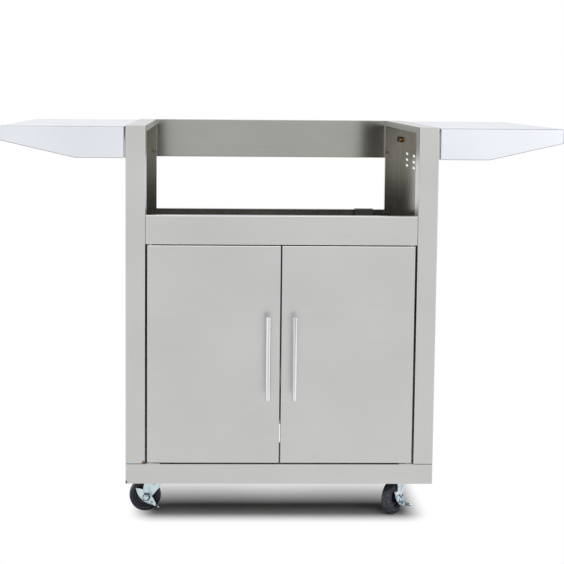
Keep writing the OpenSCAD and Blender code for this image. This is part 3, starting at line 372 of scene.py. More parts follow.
def fastener_material(name, base, shade, roughness):
    """Plated or plain turned steel: the plating's cloudy colour, and fine marks of the tool."""
    made, tree, here = new_material(name, 1.0, roughness, base)
    share_in = add(tree, RANGE, (texture(tree, here, 4, 3.0), 0.4, 0.68))
    marks = texture(tree, here, 0.6)
    return feed(made, add(tree, MIX, {0: share_in, 6: base, 7: shade}, 2, data_type="RGBA"),
                about(tree, marks, roughness, 0.1), (marks, 0.008))


def darker(base):
    """The shade of a bare metal, where it's a little stained."""
    return [0.7 * c for c in base]


def zinc_material(look):
    """Bright zinc plate on stamped steel: cool highlights, a teal cast in the shade and a faint spangle.

    The cast goes with slow changes of the plating's thickness, a few millimetres across."""
    made, tree, here = new_material("Bright zinc plate", 1.0, 0.24, look.zinc)
    cloud, spangle = texture(tree, here, (16, 16, 24)), texture(tree, here, 1.4)
    share_in = add(tree, RANGE, (cloud, 0.5, 0.75))
    return feed(made, add(tree, MIX, {0: share_in, 6: look.zinc, 7: look.zinc_shade}, 2, data_type="RGBA"),
                about(tree, spangle, 0.2, 0.06), (spangle, 0.006), (cloud, 0.6))


def tyre_material(name, look, rubber, dust):
    """Hard grey-black rubber with a dull moulded skin, and a share of dust.

    A tyre's tread is told from its sides by the light speckle of dust, which lies in patches."""
    made, tree, here = new_material(name, 0.0, 0.6, rubber)
    scuffs = add(tree, RANGE, (texture(tree, here, 5, 6.0, 0.85), 0.5, 0.64))
    skin = texture(tree, here, 0.9, 3.0)
    share_in = add(tree, MATH, (scuffs, dust), operation="MULTIPLY")
    return feed(made, add(tree, MIX, {0: share_in, 6: rubber, 7: look.dust}, 2, data_type="RGBA"),
                about(tree, scuffs, 0.6, 0.12), (skin, 0.04))


def moulded_material(name, base, roughness):
    """Moulded plastic or rubber: an even skin with a faint texture from the mould."""
    made, tree, here = new_material(name, 0.0, roughness, base)
    share_in = add(tree, RANGE, (texture(tree, here, 9), 0.3, 0.7))
    paler = [1.25 * c for c in base]
    skin = texture(tree, here, 0.7)
    return feed(made, add(tree, MIX, {0: share_in, 6: base, 7: paler}, 2, data_type="RGBA"),
                about(tree, skin, roughness, 0.08), (skin, 0.015))


def dress(nodes, material):
    """Gives CAD nodes another material."""
    for name in nodes:
        for place in frame["nodes"][name].material_slots:
            place.material = material


# Pieces

def welded(node):
    """A CAD node's mesh to edit, with its corners joined."""
    mesh = bmesh.new()
    mesh.from_mesh(frame["nodes"][node].data)
    bmesh.ops.remove_doubles(mesh, verts=mesh.verts, dist=WELD)
    return mesh


def solids(node, turn=Matrix()):
    """The corners of each separate solid of a CAD node, as one array each, turned by a matrix."""
    mesh = welded(node)
    mesh.transform(turn)
    left, found = set(mesh.verts), []
    while left:
        solid, edge = [], [left.pop()]
        while edge:
            corner = edge.pop()
            solid.append(corner.co[:])
            near = {e.other_vert(corner) for e in corner.link_edges} & left
            left -= near
            edge.extend(near)
        found.append(np.array(solid))
    mesh.free()
    return sorted(found, key=lambda solid: [round(v, 5) for v in solid.mean(0)])


def new_object(name, data):
    """An object in the scene, from its mesh, lamp or camera."""
    made = bpy.data.objects.new(name, data)
    bpy.context.collection.objects.link(made)
    return made


def to_mesh(name, edited):
    """A mesh made from an edited one, which is freed."""
    made = bpy.data.meshes.new(name)
    edited.to_mesh(made)
    edited.free()
    return made


def turned(rings, sides=48, bore=False):
    """A mesh turned about Z through rings of (radius, height), from one end to the other.

    A third number makes a ring six-sided, with the radius as half its width across flats. With a bore
    the last ring joins the first one, and otherwise both ends are closed."""
    mesh = bmesh.new()
    loops = []
    for radius, height, *six in rings:
        loop = []
        for i in range(sides):
            turn = 2 * math.pi * i / sides
            reach = radius / math.cos((turn + math.pi / 6) % (math.pi / 3) - math.pi / 6) if six else radius
            loop.append(mesh.verts.new((reach * math.cos(turn), reach * math.sin(turn), height)))
        loops.append(loop)
    for low, high in list(zip(loops, loops[1:])) + ([(loops[-1], loops[0])] if bore else []):
        for i in range(sides):
            j = (i + 1) % sides
            mesh.faces.new((low[i], low[j], high[j], high[i]))
    if not bore:
        mesh.faces.new(loops[0][::-1])
        mesh.faces.new(loops[-1])
    bmesh.ops.recalc_face_normals(mesh, faces=mesh.faces)
    return mesh


def piece(name, meshes, body, node, material=None):
    """Joins meshes into one piece that rides on a body and stands for a CAD node."""
    parts = []
    for mesh in meshes:
        if material:
            mesh.materials.clear()
            mesh.materials.append(material)
        parts.append(new_object(name, mesh))
    if len(parts) > 1:
        with bpy.context.temp_override(active_object=parts[0], selected_editable_objects=parts):
            bpy.ops.object.join()
    made = parts[0]
    made.data.shade_smooth()
    made.data.set_sharp_from_angle(angle=SHARP)
    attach(made, body)
    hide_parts(node)
    return made


def new_tree(name, **kinds):
    """A Geometry Nodes tree with a geometry in and out and other inputs, as (tree, inputs by name)."""
    tree = bpy.data.node_groups.new(name, "GeometryNodeTree")
    for label, kind in {"Points": "Geometry", **kinds}.items():
        tree.interface.new_socket(label.replace("_", " "), in_out="INPUT", socket_type="NodeSocket" + kind)
    tree.interface.new_socket("Geometry", in_out="OUTPUT", socket_type="NodeSocketGeometry")
    sockets = tree.nodes.new("NodeGroupInput").outputs
    return tree, {socket.name.replace(" ", "_"): socket for socket in sockets if socket.name}


def set_out(tree, sockets, part):
    """Ends a tree: the part stands on each point, facing along its axis and turned by chance about it."""
    axis = add(tree, "GeometryNodeInputNamedAttribute", {"Name": "axis"}, data_type="FLOAT_VECTOR")
    facing = add(tree, "FunctionNodeAlignRotationToVector", {"Vector": axis}, axis="Z")
    # A random number has its highest value at 3, and comes out at 1
    chance = add(tree, "FunctionNodeRandomValue", {3: 2 * math.pi, "Seed": sockets["Seed"]}, 1,
                 data_type="FLOAT")
    twist = add(tree, "FunctionNodeAxisAngleToRotation", {"Axis": (0, 0, 1), "Angle": chance})
    facing = add(tree, "FunctionNodeRotateRotation", (facing, twist), rotation_space="LOCAL")
    placed = add(tree, "GeometryNodeInstanceOnPoints", {
        "Points": sockets["Points"], "Instance": part, "Rotation": facing})
    real = add(tree, "GeometryNodeRealizeInstances", [placed])
    done = add(tree, "GeometryNodeSetMaterial", {"Geometry": real, "Material": sockets["Finish"]})
    tree.links.new(done, tree.nodes.new("NodeGroupOutput").inputs[0])
    return tree


def sized(tree, unit_object, width, height):
    """A unit pattern brought to its width and its height."""
    geometry = add(tree, "GeometryNodeObjectInfo", {"Object": unit_object}, "Geometry")
    size = add(tree, JOIN, (width, width, height))
    return add(tree, "GeometryNodeTransform", {"Geometry": geometry, "Scale": size})


def screw_tree():
    """Screws: a head on a threaded shank that ends at the point's far side."""
    tree, sockets = new_tree("Screws", Head="Object", Head_Width="Float", Head_Height="Float", Width="Float",
                             Length="Float", Pitch="Float", Depth="Float", Seed="Int", Finish="Material")
    reach, pitch = sockets["Length"], sockets["Pitch"]
    turns = add(tree, MATH, (reach, pitch), operation="DIVIDE")
    rod = add(tree, "GeometryNodeMeshCylinder", {
        "Vertices": 20, "Side Segments": add(tree, MATH, (turns, 2.0), operation="MULTIPLY"), "Depth": reach,
        "Radius": add(tree, MATH, (sockets["Width"], 0.5), operation="MULTIPLY")})
    place = add(tree, "GeometryNodeInputPosition")
    along = add(tree, MATH, (reach, 0.5, add(tree, SPLIT, [place], Z)), operation="MULTIPLY_ADD")
    along = add(tree, MATH, (along, 2.0), operation="MULTIPLY")
    tooth = add(tree, MATH, (along, pitch), operation="PINGPONG")
    tooth = add(tree, MATH, (tooth, pitch), operation="DIVIDE")
    tooth = add(tree, MATH, (tooth, sockets["Depth"]), operation="MULTIPLY")
    across = add(tree, MATH, (1.0, tooth), operation="SUBTRACT")
    thinned = add(tree, VECTOR, (place, add(tree, JOIN, (across, across, 1.0))), operation="MULTIPLY")
    rod = add(tree, "GeometryNodeSetPosition", {"Geometry": rod, "Position": thinned})
    below = add(tree, JOIN, {Z: add(tree, MATH, (reach, -0.5), operation="MULTIPLY")})
    rod = add(tree, "GeometryNodeTransform", {"Geometry": rod, "Translation": below})
    both = add(tree, "GeometryNodeJoinGeometry", [
        sized(tree, sockets["Head"], sockets["Head_Width"], sockets["Head_Height"])])
    tree.links.new(rod, both.node.inputs[0])
    return set_out(tree, sockets, both)


def nut_tree():
    """Nuts: a unit nut brought to its width across flats and its height."""
    tree, sockets = new_tree("Nuts", Nut="Object", Width="Float", Height="Float", Seed="Int",
                             Finish="Material")
    return set_out(tree, sockets, sized(tree, sockets["Nut"], sockets["Width"], sockets["Height"]))


def ball_tree():
    """Rings of balls: each point gets a ring of them about its axis."""
    tree, sockets = new_tree("Ball rings", Ring_Radius="Float", Ball_Width="Float", Balls="Int",
                             Seed="Int", Finish="Material")
    ring = add(tree, "GeometryNodeMeshCircle", {
        "Vertices": sockets["Balls"], "Radius": sockets["Ring_Radius"]})
    radius = add(tree, MATH, (sockets["Ball_Width"], 0.5), operation="MULTIPLY")
    ball = add(tree, "GeometryNodeMeshUVSphere", {"Segments": 12, "Rings": 8, "Radius": radius})
    balls = add(tree, "GeometryNodeInstanceOnPoints", {"Points": ring, "Instance": ball})
    return set_out(tree, sockets, balls)


def grown(tree, points, **values):
    """The plain mesh that a tree makes on points, a list of (place, direction)."""
    mesh = bpy.data.meshes.new("Points")
    mesh.from_pydata([place for place, _ in points], [], [])
    facing = mesh.attributes.new("axis", "FLOAT_VECTOR", "POINT")
    facing.data.foreach_set("vector", [v for _, direction in points for v in direction])
    base = new_object("Points", mesh)
    change = base.modifiers.new("Hardware", "NODES")
    change.node_group = tree
    for socket in tree.interface.items_tree:
        label = socket.name.replace(" ", "_")
        if socket.in_out == "INPUT" and label in values:
            change[socket.identifier] = values[label]
    seen = base.evaluated_get(bpy.context.evaluated_depsgraph_get())
    made = bpy.data.meshes.new_from_object(seen)
    base.modifiers.remove(change)
    bpy.data.objects.remove(base)
    return made


def pattern(name, rings, bore=False):
    """An object that trees copy and that isn't in the scene itself, with sizes as shares of one."""
    made = bpy.data.objects.new(name, to_mesh(name, turned(rings, 24, bore)))
    made.data.shade_smooth()
    return made


def hardware_patterns():
    """One unit wide and high: a button head with a hex socket, a hex head and a chamfered nut."""
    button = [(0.5, 0), (0.5, 0.3), (0.475, 0.52), (0.4, 0.75), (0.3, 0.92), (0.24, 0.98), (0.2, 0.98, 1),
              (0.19, 0.4, 1), (0.05, 0.3)]
    hex_head = [(0.5, 0, 1), (0.5, 0.86, 1), (0.47, 1), (0.36, 1), (0.33, 0.93), (0.05, 0.93)]
    nut = [(0.31, 0.08), (0.35, 0), (0.47, 0), (0.5, 0.14, 1), (0.5, 0.86, 1), (0.47, 1), (0.35, 1),
           (0.31, 0.92)]
    return pattern("Button head", button), pattern("Hex head", hex_head), pattern("Nut", nut, bore=True)


def seats(node, axis, head_height, turn=Matrix()):
    """For each screw of a CAD node: (place under the head, direction of the head, shank length, head width).

    They lie along an axis, X, Y or Z. The head is at the end where the solid is wider."""
    found = []
    for solid in solids(node, turn):
        along = solid[:, axis]
        low, high = along.min(), along.max()
        middle = (solid.min(0) + solid.max(0)) / 2
        away = np.linalg.norm(np.delete(solid - middle, axis, 1), axis=1)
        near_low, near_high = (away[abs(along - end) < NEAR_END].max() for end in (low, high))
        direction = np.zeros(3)
        direction[axis] = 1 if near_high > near_low else -1
        place = middle.copy()
        place[axis] = high - head_height if near_high > near_low else low + head_height
        found.append((place, direction, high - low - head_height, 2 * max(near_low, near_high)))
    return found


def screw_row(tree, found, head, head_size, width, look, seed, finish):
    """Screws on seats, with heads of (width, height) and the hardware's threads."""
    return grown(tree, [seat[:2] for seat in found], Head=head, Head_Width=head_size[0],
                 Head_Height=head_size[1], Width=width, Length=found[0][2], Pitch=look.thread_pitch,
                 Depth=look.thread_depth, Seed=seed, Finish=finish)


def nut_row(tree, points, nut, size, seed, finish):
    """Nuts of (width across flats, height) on points."""
    return grown(tree, points, Nut=nut, Width=size[0], Height=size[1], Seed=seed, Finish=finish)


def nut_places(found, stand_out):
    """Where nuts go on screws whose ends are to stand out of them by a length."""
    return [(place - direction * (reach - stand_out), direction) for place, direction, reach, _ in found]


# Stage

def place_lamp(name, at, towards, width, height, radiance):
    """A soft rectangular lamp. Its power follows from how bright its face is to be."""
    data = bpy.data.lights.new(name, "AREA")
    data.shape, data.size, data.size_y = "RECTANGLE", width, height
    data.energy = radiance * math.pi * width * height
    lamp = new_object(name, data)
    lamp.location = at
    lamp.rotation_euler = (Vector(towards) - Vector(at)).to_track_quat("-Z", "Y").to_euler()
    lamp.visible_camera = False


class CART_OT_stage(Operator):
    """Sets the pale floor, the white room, the lamps and the camera"""
    bl_idname = "cart.stage"
    bl_label = "Stage"

    def execute(self, context):
        look = context.scene.cart_stage
        self.light_room(context, look)
        self.lay_floor(look)
        place_lamp("Top lamp", (-0.4, -1.6, 2.9), (0, 0.1, 0.4), 3.2, 2.2, look.top_lamp)
        place_lamp("Left lamp", (-2.6, -0.8, 2.2), (0, 0, 0.7), 1.0, 1.6, look.side_lamp)
        place_lamp("Right lamp", (2.6, -0.8, 2.2), (0, 0, 0.7), 1.0, 1.6, look.side_lamp)
        place_lamp("Front lamp", (1.9, -2.6, 1.3), (0.5, -0.2, 0.9), 1.0, 1.2, look.front_lamp)
        self.set_camera(context, look)
        context.scene.view_settings.view_transform = "Standard"
        return {"FINISHED"}

    def seen(self, tree):
        """One for camera, glossy and transmission rays that no dull face has scattered: they see white."""
        rays = add(tree, "ShaderNodeLightPath").node.outputs
        seeing = add(tree, MATH, (rays["Is Camera Ray"], rays["Is Glossy Ray"]), operation="MAXIMUM")
        seeing = add(tree, MATH, (seeing, rays["Is Transmission Ray"]), operation="MAXIMUM")
        first = add(tree, MATH, (rays["Diffuse Depth"], 0.5), operation="LESS_THAN")
        return add(tree, MATH, (seeing, first), operation="MULTIPLY")

    def light_room(self, context, look):
        world = bpy.data.worlds.new("White room")
        context.scene.world = world
        world.use_nodes = True
        tree = world.node_tree
        up = add(tree, SPLIT, [add(tree, COORDS, out="Generated")], Z)
        fill = add(tree, RANGE, (up, 0.45, 0.95, look.horizon, look.sky))  # up is 0 below and 1 above
        strength = add(tree, MIX, {0: self.seen(tree), 2: fill, 3: 1.0})
        tree.nodes["Background"].inputs["Color"].default_value = (1, 1, 1, 1)
        tree.links.new(strength, tree.nodes["Background"].inputs["Strength"])

    def lay_floor(self, look):
        """The floor keeps the shadow under the cart, in a band inside the wheels, and is white elsewhere. Its
        grey, seen only below the cart, is painted shade that deepens the shadow, and below the middle of the
        cart it turns white in a painted pool of light.
        """
        bpy.ops.mesh.primitive_plane_add(size=24, location=(0, 0, 0))
        floor = bpy.context.object
        floor.name = "Floor"
        made = bpy.data.materials.new("Pale floor, white away from the cart")
        made.use_nodes = True
        tree = made.node_tree
        tree.nodes.remove(tree.nodes["Principled BSDF"])
        # The grey is seen only below the cart: painted shade that deepens the shadow
        pale = add(tree, "ShaderNodeBsdfDiffuse", {"Color": look.floor})
        white = add(tree, "ShaderNodeEmission", {"Color": (1, 1, 1), "Strength": 1.0})
        corners = [PLACES[name + "_swivel"] for name in CASTERS]
        wide, deep = (max(abs(corner[i]) for corner in corners) for i in range(2))
        deep -= 0.2 * look.fade  # the edge starts a little inside the wheels
        here = add(tree, VECTOR, [add(tree, COORDS, out="Object")], operation="ABSOLUTE")
        past = add(tree, VECTOR, (here, (wide, deep, 0)), operation="SUBTRACT")
        past = add(tree, VECTOR, (past, (0, 0, 0)), operation="MAXIMUM")
        away = add(tree, VECTOR, [past], "Value", operation="LENGTH")
        away = add(tree, RANGE, (away, 0.0, look.fade), interpolation_type="SMOOTHSTEP")
        # Painted pool of light: white for the camera below the middle of the cart, where the shadow would be
        pool = add(tree, RANGE, (add(tree, SPLIT, [here], Y), deep - look.band, 0.0, 0.0, look.pool))
        fade = add(tree, MATH, (away, pool), operation="MAXIMUM")
        fade = add(tree, MATH, (self.seen(tree), fade), operation="MULTIPLY")
        tree.links.new(add(tree, "ShaderNodeMixShader", (fade, pale, white)),
                       tree.nodes["Material Output"].inputs["Surface"])
        floor.data.materials.append(made)

    def set_camera(self, context, look):
        yaw, pitch, roll = (math.radians(a) for a in CAMERA_TURN)
        camera = new_object("Camera", bpy.data.cameras.new("Camera"))
        tilt = Matrix.Rotation(math.pi / 2 - pitch, 4, "X") @ Matrix.Rotation(roll, 4, "Z")
        camera.matrix_world = Matrix.Translation(CAMERA_AT) @ Matrix.Rotation(-yaw, 4, "Z") @ tilt
        camera.data.sensor_width, camera.data.lens = 36, look.lens
        camera.data.shift_x, camera.data.shift_y = CAMERA_SHIFT
        context.scene.camera = camera


# Sheet metal

class CART_OT_sheets(Operator):
    """Gives the folded sheets of the body, doors and shelves their finishes"""
    bl_idname = "cart.sheets"
    bl_label = "Sheet metal"

    def execute(self, context):
        look = context.scene.cart_sheets
        low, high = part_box("left_side_panel")
        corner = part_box("base_pan")[0]
        foot_spot = (high.x - 2 * MM, FRONT, low.z + 2 * MM), 8 * MM
        base_spot = (corner.x, corner.y, corner.z + 3 * MM), 6 * MM
        for label, nodes, along, options in (
                ("Brushed stainless column", ["left_side_panel", "right_side_panel"], "Z",
                 # The columns' inner faces get painted reflections as strong streaks, and their foot the
                 # painted shadow of the joint with the base
                 dict(inside="dull", streaks_and_painted_reflections=0.3, spots=[foot_spot], edges=[((0, 0, -1), -low.z)],
                      edge_shade_colour="seam")),
                ("Brushed stainless base", ["base_pan"], "X", dict(spots=[base_spot])),
                ("Brushed stainless door", ["left_door_skin", "right_door_skin"], "X", {}),
                ("Mill stainless door liner", ["left_door_liner", "right_door_liner"], "X", {}),
                ("Brushed stainless rail", ["front_panel"], "X", {}),
                ("Brushed stainless upper back", ["rear_upper_panel"], "X", {}),
                ("Brushed stainless lower back", ["rear_lower_panel"], "X", dict(inside="dull")),
                ("Satin stainless shelf", ["left_shelf_top", "right_shelf_top"], "Y",
                 # Painted shade on the shelf's folds and along its cut edges
                 dict(outside="satin", painted_fold_light=-0.5, edges=front_edges("left_shelf_top")))):
            dress(nodes, sheet_material(label, look, self.middle(nodes[0]), along, **options))
        dress(["caster_channels", "door_hinge_plates", "shelf_brackets"],
              sheet_material("Stainless plate", look, BEHIND, "Y"))
        return {"FINISHED"}

    def middle(self, node):
        """The middle of a node's box, with X on both sides, or 0 if it spans both"""
        low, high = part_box(node)
        centre = (low + high) / 2
        centre.x = abs(centre.x) if low.x * high.x > 0 else 0
        return centre


# Screws, nuts and pins

class CART_OT_hardware(Operator):
    """Makes the screws and nuts of the body and the shelves"""
    bl_idname = "cart.hardware"
    bl_label = "Hardware"

    def execute(self, context):
        look = context.scene.cart_hardware
        plain = fastener_material("Plain turned steel", look.plain, darker(look.plain), roughness=0.28)
        yellow = fastener_material("Yellow zinc plate", look.yellow, look.yellow_shade, roughness=0.3)
        button, _, nut = hardware_patterns()
        screws, nuts = screw_tree(), nut_tree()

        def button_screws(node, axis, head_height, seed):
            """The seats of a node's screws, and the screws"""
            found = seats(node, axis, head_height)
            width = found[0][3]
            return found, screw_row(screws, found, button, (width, head_height), width / 2, look, seed, plain)

        for seed, (name, axis) in enumerate((("panel", Y), ("front_panel", X))):
            made = button_screws(name + "_screws", axis, BUTTON_HEAD, seed)[1]
            piece(name.replace("panel", "screw") + "_row", [made], "cart_frame", name + "_screws")
            along = np.eye(3)[axis]
            places = [(solid.min(0) * along + (solid.min(0) + solid.max(0)) / 2 * (1 - along), along)
                      for solid in solids(name + "_nuts")]
            made = nut_row(nuts, places, nut, SMALL_NUT, seed + 7, yellow)
            piece(name.replace("panel", "nut") + "_row", [made], "cart_frame", name + "_nuts")
        for name, axis, head_height, size, stand_out in (
                ("side_panel_bolt", Z, BUTTON_HEAD, SMALL_NUT, 2 * MM),
                ("shelf_bracket_bolt", X, BRACKET_HEAD, BIG_NUT, STAND_OUT)):
            found, made = button_screws(name + "s", axis, head_height, axis)
            row = nut_row(nuts, nut_places(found, stand_out), nut, size, axis + 5, yellow)
            piece(name + "_row", [made, row], "cart_frame", name + "s")
        for side in SIDES:
            dress([side + "_shelf_studs", side + "_shelf_stud_nuts", side + "_door_pivot_pins"], plain)
        return {"FINISHED"}


class CART_OT_handles(Operator):
    """Makes the polished handle bars, and finishes their posts"""
    bl_idname = "cart.handles"
    bl_label = "Handles"

    def execute(self, context):
        look = context.scene.cart_handles
        polished = polished_material(look)
        r = look.end_round
        for side in SIDES:
            low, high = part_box(side + "_handle_bar")
            wide, tall = (high.x - low.x) / 2, high.z - low.z
            rings = [(wide - r + r * math.sin(a), r * (1 - math.cos(a)))
                     for a in (math.pi / 2 * i / 5 for i in range(6))]
            rings += [(radius, tall - height) for radius, height in reversed(rings)]
            bar = turned(rings, sides=64)
            bar.transform(Matrix.Translation(((low.x + high.x) / 2, (low.y + high.y) / 2, low.z)))
            piece(side + "_round_bar", [to_mesh("Handle bar", bar)], side + "_door", side + "_handle_bar",
                  polished)
            dress([side + "_handle_posts"], polished)
        return {"FINISHED"}


class CART_OT_catches(Operator):
    """Finishes the door catches, the nylon washers and the edge guard"""
    bl_idname = "cart.catches"
    bl_label = "Catches and guard"

    def execute(self, context):
        look = context.scene.cart_catches
        for nodes, material in (
                (["left_door_strike", "right_door_strike"],
                 fastener_material("Zinc strike plate", look.strike, look.strike_shade, roughness=0.3)),
                (["catch_housings"], moulded_material("Black catch plastic", look.plastic, roughness=0.45)),
                (["catch_magnets"],
                 fastener_material("Magnet pole steel", look.magnet, darker(look.magnet), roughness=0.4)),
                (["door_hinge_washers"], moulded_material("White nylon", look.nylon, roughness=0.5)),
                (["hose_edge_guard"], moulded_material("Grey guard rubber", look.rubber, roughness=0.5))):
            dress(nodes, material)
        return {"FINISHED"}


# Casters

def caster_frame(name):
    """Matrix of a caster as drawn: the swivel axis at the origin, and the wheel trailing along X."""
    swivel, wheel = PLACES[name + "_swivel"], PLACES[name + "_wheel_spin"]
    trail = math.atan2(wheel[1] - swivel[1], wheel[0] - swivel[0])
    return Matrix.Translation((swivel[0], swivel[1], 0)) @ Matrix.Rotation(trail, 4, "Z")


def axle_frame(name):
    """Matrix of a wheel's axle: the hub's middle at the origin, Z outboard, X away from the swivel."""
    turn = caster_frame(name).to_3x3() @ Matrix.Rotation(-math.pi / 2, 3, "X")
    return Matrix.Translation(PLACES[name + "_wheel_spin"]) @ turn.to_4x4()


def lever_lift(name):
    """How far a brake lever's inner face is from the wheel's middle plane."""
    inward = axle_frame(name).inverted()
    return float(min(solid[:, 2].min() for solid in solids(name + "_brake_lever", inward)))


def circle(centre, radius, count):
    """Points round a circle on a flat plate."""
    return [centre + radius * Vector((math.cos(2 * math.pi * i / count), math.sin(2 * math.pi * i / count)))
            for i in range(count)]


def closed(loops):
    """The points of some loops, and the edges that close each of them."""
    points, edges = [], []
    for loop in loops:
        start = len(points)
        points += loop
        edges += [(start + i, start + (i + 1) % len(loop)) for i in range(len(loop))]
    return points, edges


def pressed(corners, faces, height, sheet, shallow):
    """A pressed sheet, with its top at the heights, its underside and the walls along its cut edges.

    The underside stays flat below anything lower than shallow."""
    mesh = bmesh.new()
    tops = [mesh.verts.new((p.x, p.y, sheet + height(p))) for p in corners]
    unders = [mesh.verts.new((p.x, p.y, max(0.0, height(p) - shallow))) for p in corners]
    for face in faces:
        mesh.faces.new([tops[i] for i in face])
        mesh.faces.new([unders[i] for i in reversed(face)])
    below = dict(zip(tops, unders))
    for border in [e for e in mesh.edges if e.is_boundary and e.verts[0] in below]:
        a, b = border.verts
        mesh.faces.new((a, b, below[b], below[a]))
    return mesh


class CART_OT_casters(Operator):
    """Makes the ball rings, axle bolts and brake levers, and finishes the forks and plates"""
    bl_idname = "cart.casters"
    bl_label = "Casters"

    def execute(self, context):
        look = context.scene.cart_casters
        zinc = zinc_material(look)
        dress(["caster_plates"] + [name + "_fork" for name in CASTERS], zinc)
        _, head, nut = hardware_patterns()
        screws, nuts = screw_tree(), nut_tree()
        threads = context.scene.cart_hardware

        def bolts(found, seed):
            """Hex bolts on seats, and their nuts"""
            return [screw_row(screws, found, head, HEX_HEAD, CASTER_BOLT, threads, seed, zinc),
                    nut_row(nuts, nut_places(found, STAND_OUT), nut, BIG_NUT, seed + 3, zinc)]

        row = bolts(seats("caster_bolts", Z, HEX_HEAD[1]), 11)
        piece("caster_bolt_row", row, "cart_frame", "caster_bolts")
        piece("caster_swivels", self.swivels(look, zinc), "cart_frame", "caster_kingpins")
        radius, half = SLEEVE
        for seed, name in enumerate(CASTERS):
            place = axle_frame(name)
            parts = bolts(seats(name + "_axle", Z, HEX_HEAD[1], place.inverted()), 20 + seed)
            parts.append(to_mesh("Sleeve", turned([(radius, -half), (radius, half)], sides=32)))
            parts[-1].materials.append(zinc)
            for part in parts:
                part.transform(place)
            piece(name + "_axle_bolt", parts, name + "_caster", name + "_axle")
        for name in FRONT_CASTERS:
            lever = self.lever(look)
            turn = Matrix.Rotation(math.pi - look.lever_angle, 4, "Z")
            lever.transform(axle_frame(name) @ Matrix.Translation((0, 0, lever_lift(name))) @ turn)
            piece(name + "_stamped_lever", [to_mesh("Brake lever", lever)], name + "_brake",
                  name + "_brake_lever", zinc)
        return {"FINISHED"}

    def swivels(self, look, zinc):
        """The CAD's kingpins, and rings of balls in place of their plain rings"""
        mesh = welded("caster_kingpins")
        centres = [Vector(PLACES[name + "_swivel"]) for name in CASTERS]
        rings = [corner for corner in mesh.verts if min(
            (corner.co.xy - centre.xy).length for centre in centres) > look.ball_ring - look.ball]
        level = sum(corner.co.z for corner in rings) / len(rings)
        bmesh.ops.delete(mesh, geom=rings, context="VERTS")
        pins = to_mesh("Kingpins", mesh)
        pins.materials.append(zinc)
        points = [((centre.x, centre.y, level), (0, 0, 1)) for centre in centres]
        return [pins, grown(ball_tree(), points, Ring_Radius=look.ball_ring, Ball_Width=look.ball,
                            Balls=look.balls, Seed=4, Finish=zinc)]

    def lever(self, look):
        """A lens-shaped plate with a dish round the axle, a dimple, a hole and a foot tab.

        Its outline, its holes and points inside it are joined by triangles, raised to the stamped shape
        and given their underside."""
        half, wide = look.lever_length / 2, look.lever_width / 2
        bow = (half ** 2 + wide ** 2) / (2 * wide)
        hole, dimple = Vector((half - 11.5 * MM, 0)), Vector((half - 18 * MM, 0.5 * MM))
        hole_r, dimple_r, bore_r, middle = 2.4 * MM, 3 * MM, 4.3 * MM, Vector((0, 0))
        dimple_height, rim, rim_drop, gap = 1.2 * MM, 1.5 * MM, 0.5 * MM, 0.3 * MM
        crest = 0.8  # where the dish stands highest, as a share of its radius

        def edge(x):
            return math.sqrt(bow ** 2 - x ** 2) - bow + wide

        def off_holes(p, gap=0.0):
            return p.length > bore_r + gap and (p - hole).length > hole_r + gap

        steps = [half * math.sin(math.pi * (i / 40 - 0.5)) for i in range(41)]
        outline = [Vector((x, -edge(x))) for x in steps] + [Vector((x, edge(x))) for x in steps[-2:0:-1]]
        points, edges = closed([outline, circle(middle, bore_r, 32), circle(hole, hole_r, 20)])
        inner = [Vector((0.985 * x, inward * y)) for inward in (0.94, 0.86) for x, y in outline]
        for reach in (0.5, 0.62, 0.7, 0.78, 0.86, 0.93, 1.0):
            inner += circle(middle, look.dish * reach, 48)
        for reach in (0.4, 0.7, 1.0):
            inner += circle(dimple, dimple_r * reach, 16)
        inner += [Vector((x * MM, y * MM)) for x in range(-28, 30, 4) for y in range(-8, 9, 4)]
        points += [p for p in inner
                   if abs(p.x) < half - MM and abs(p.y) < edge(p.x) - gap and off_holes(p, gap)]

        def height(p):
            """Height of the stamped sheet: the dish falls outwards, and inwards to a flat seat for the nut"""
            away = p.length / look.dish
            dish = max(0.0, 1 - abs(away - crest) / (0.2 if away > crest else 0.18))
            dent = max(0.0, 1 - ((p - dimple).length / dimple_r) ** 2)
            bend = max(0.0, 1 - (edge(p.x) - abs(p.y)) / rim) if abs(p.x) < half else 1.0
            dish *= dish * (3 - 2 * dish)
            return look.dish_height * dish + dimple_height * dent - rim_drop * bend ** 2

        inside, nearest = 1, 1e-7  # only the triangles inside the outline, and points apart by this much
        corners, _, faces, *_ = delaunay_2d_cdt(points, edges, [], inside, nearest)
        faces = [face for face in faces if off_holes(sum((corners[i] for i in face), middle) / len(face))]
        mesh = pressed(corners, faces, height, look.lever_sheet, shallow=0.2 * MM)
        self.foot_tab(mesh, look)
        bmesh.ops.recalc_face_normals(mesh, faces=mesh.faces)
        return mesh

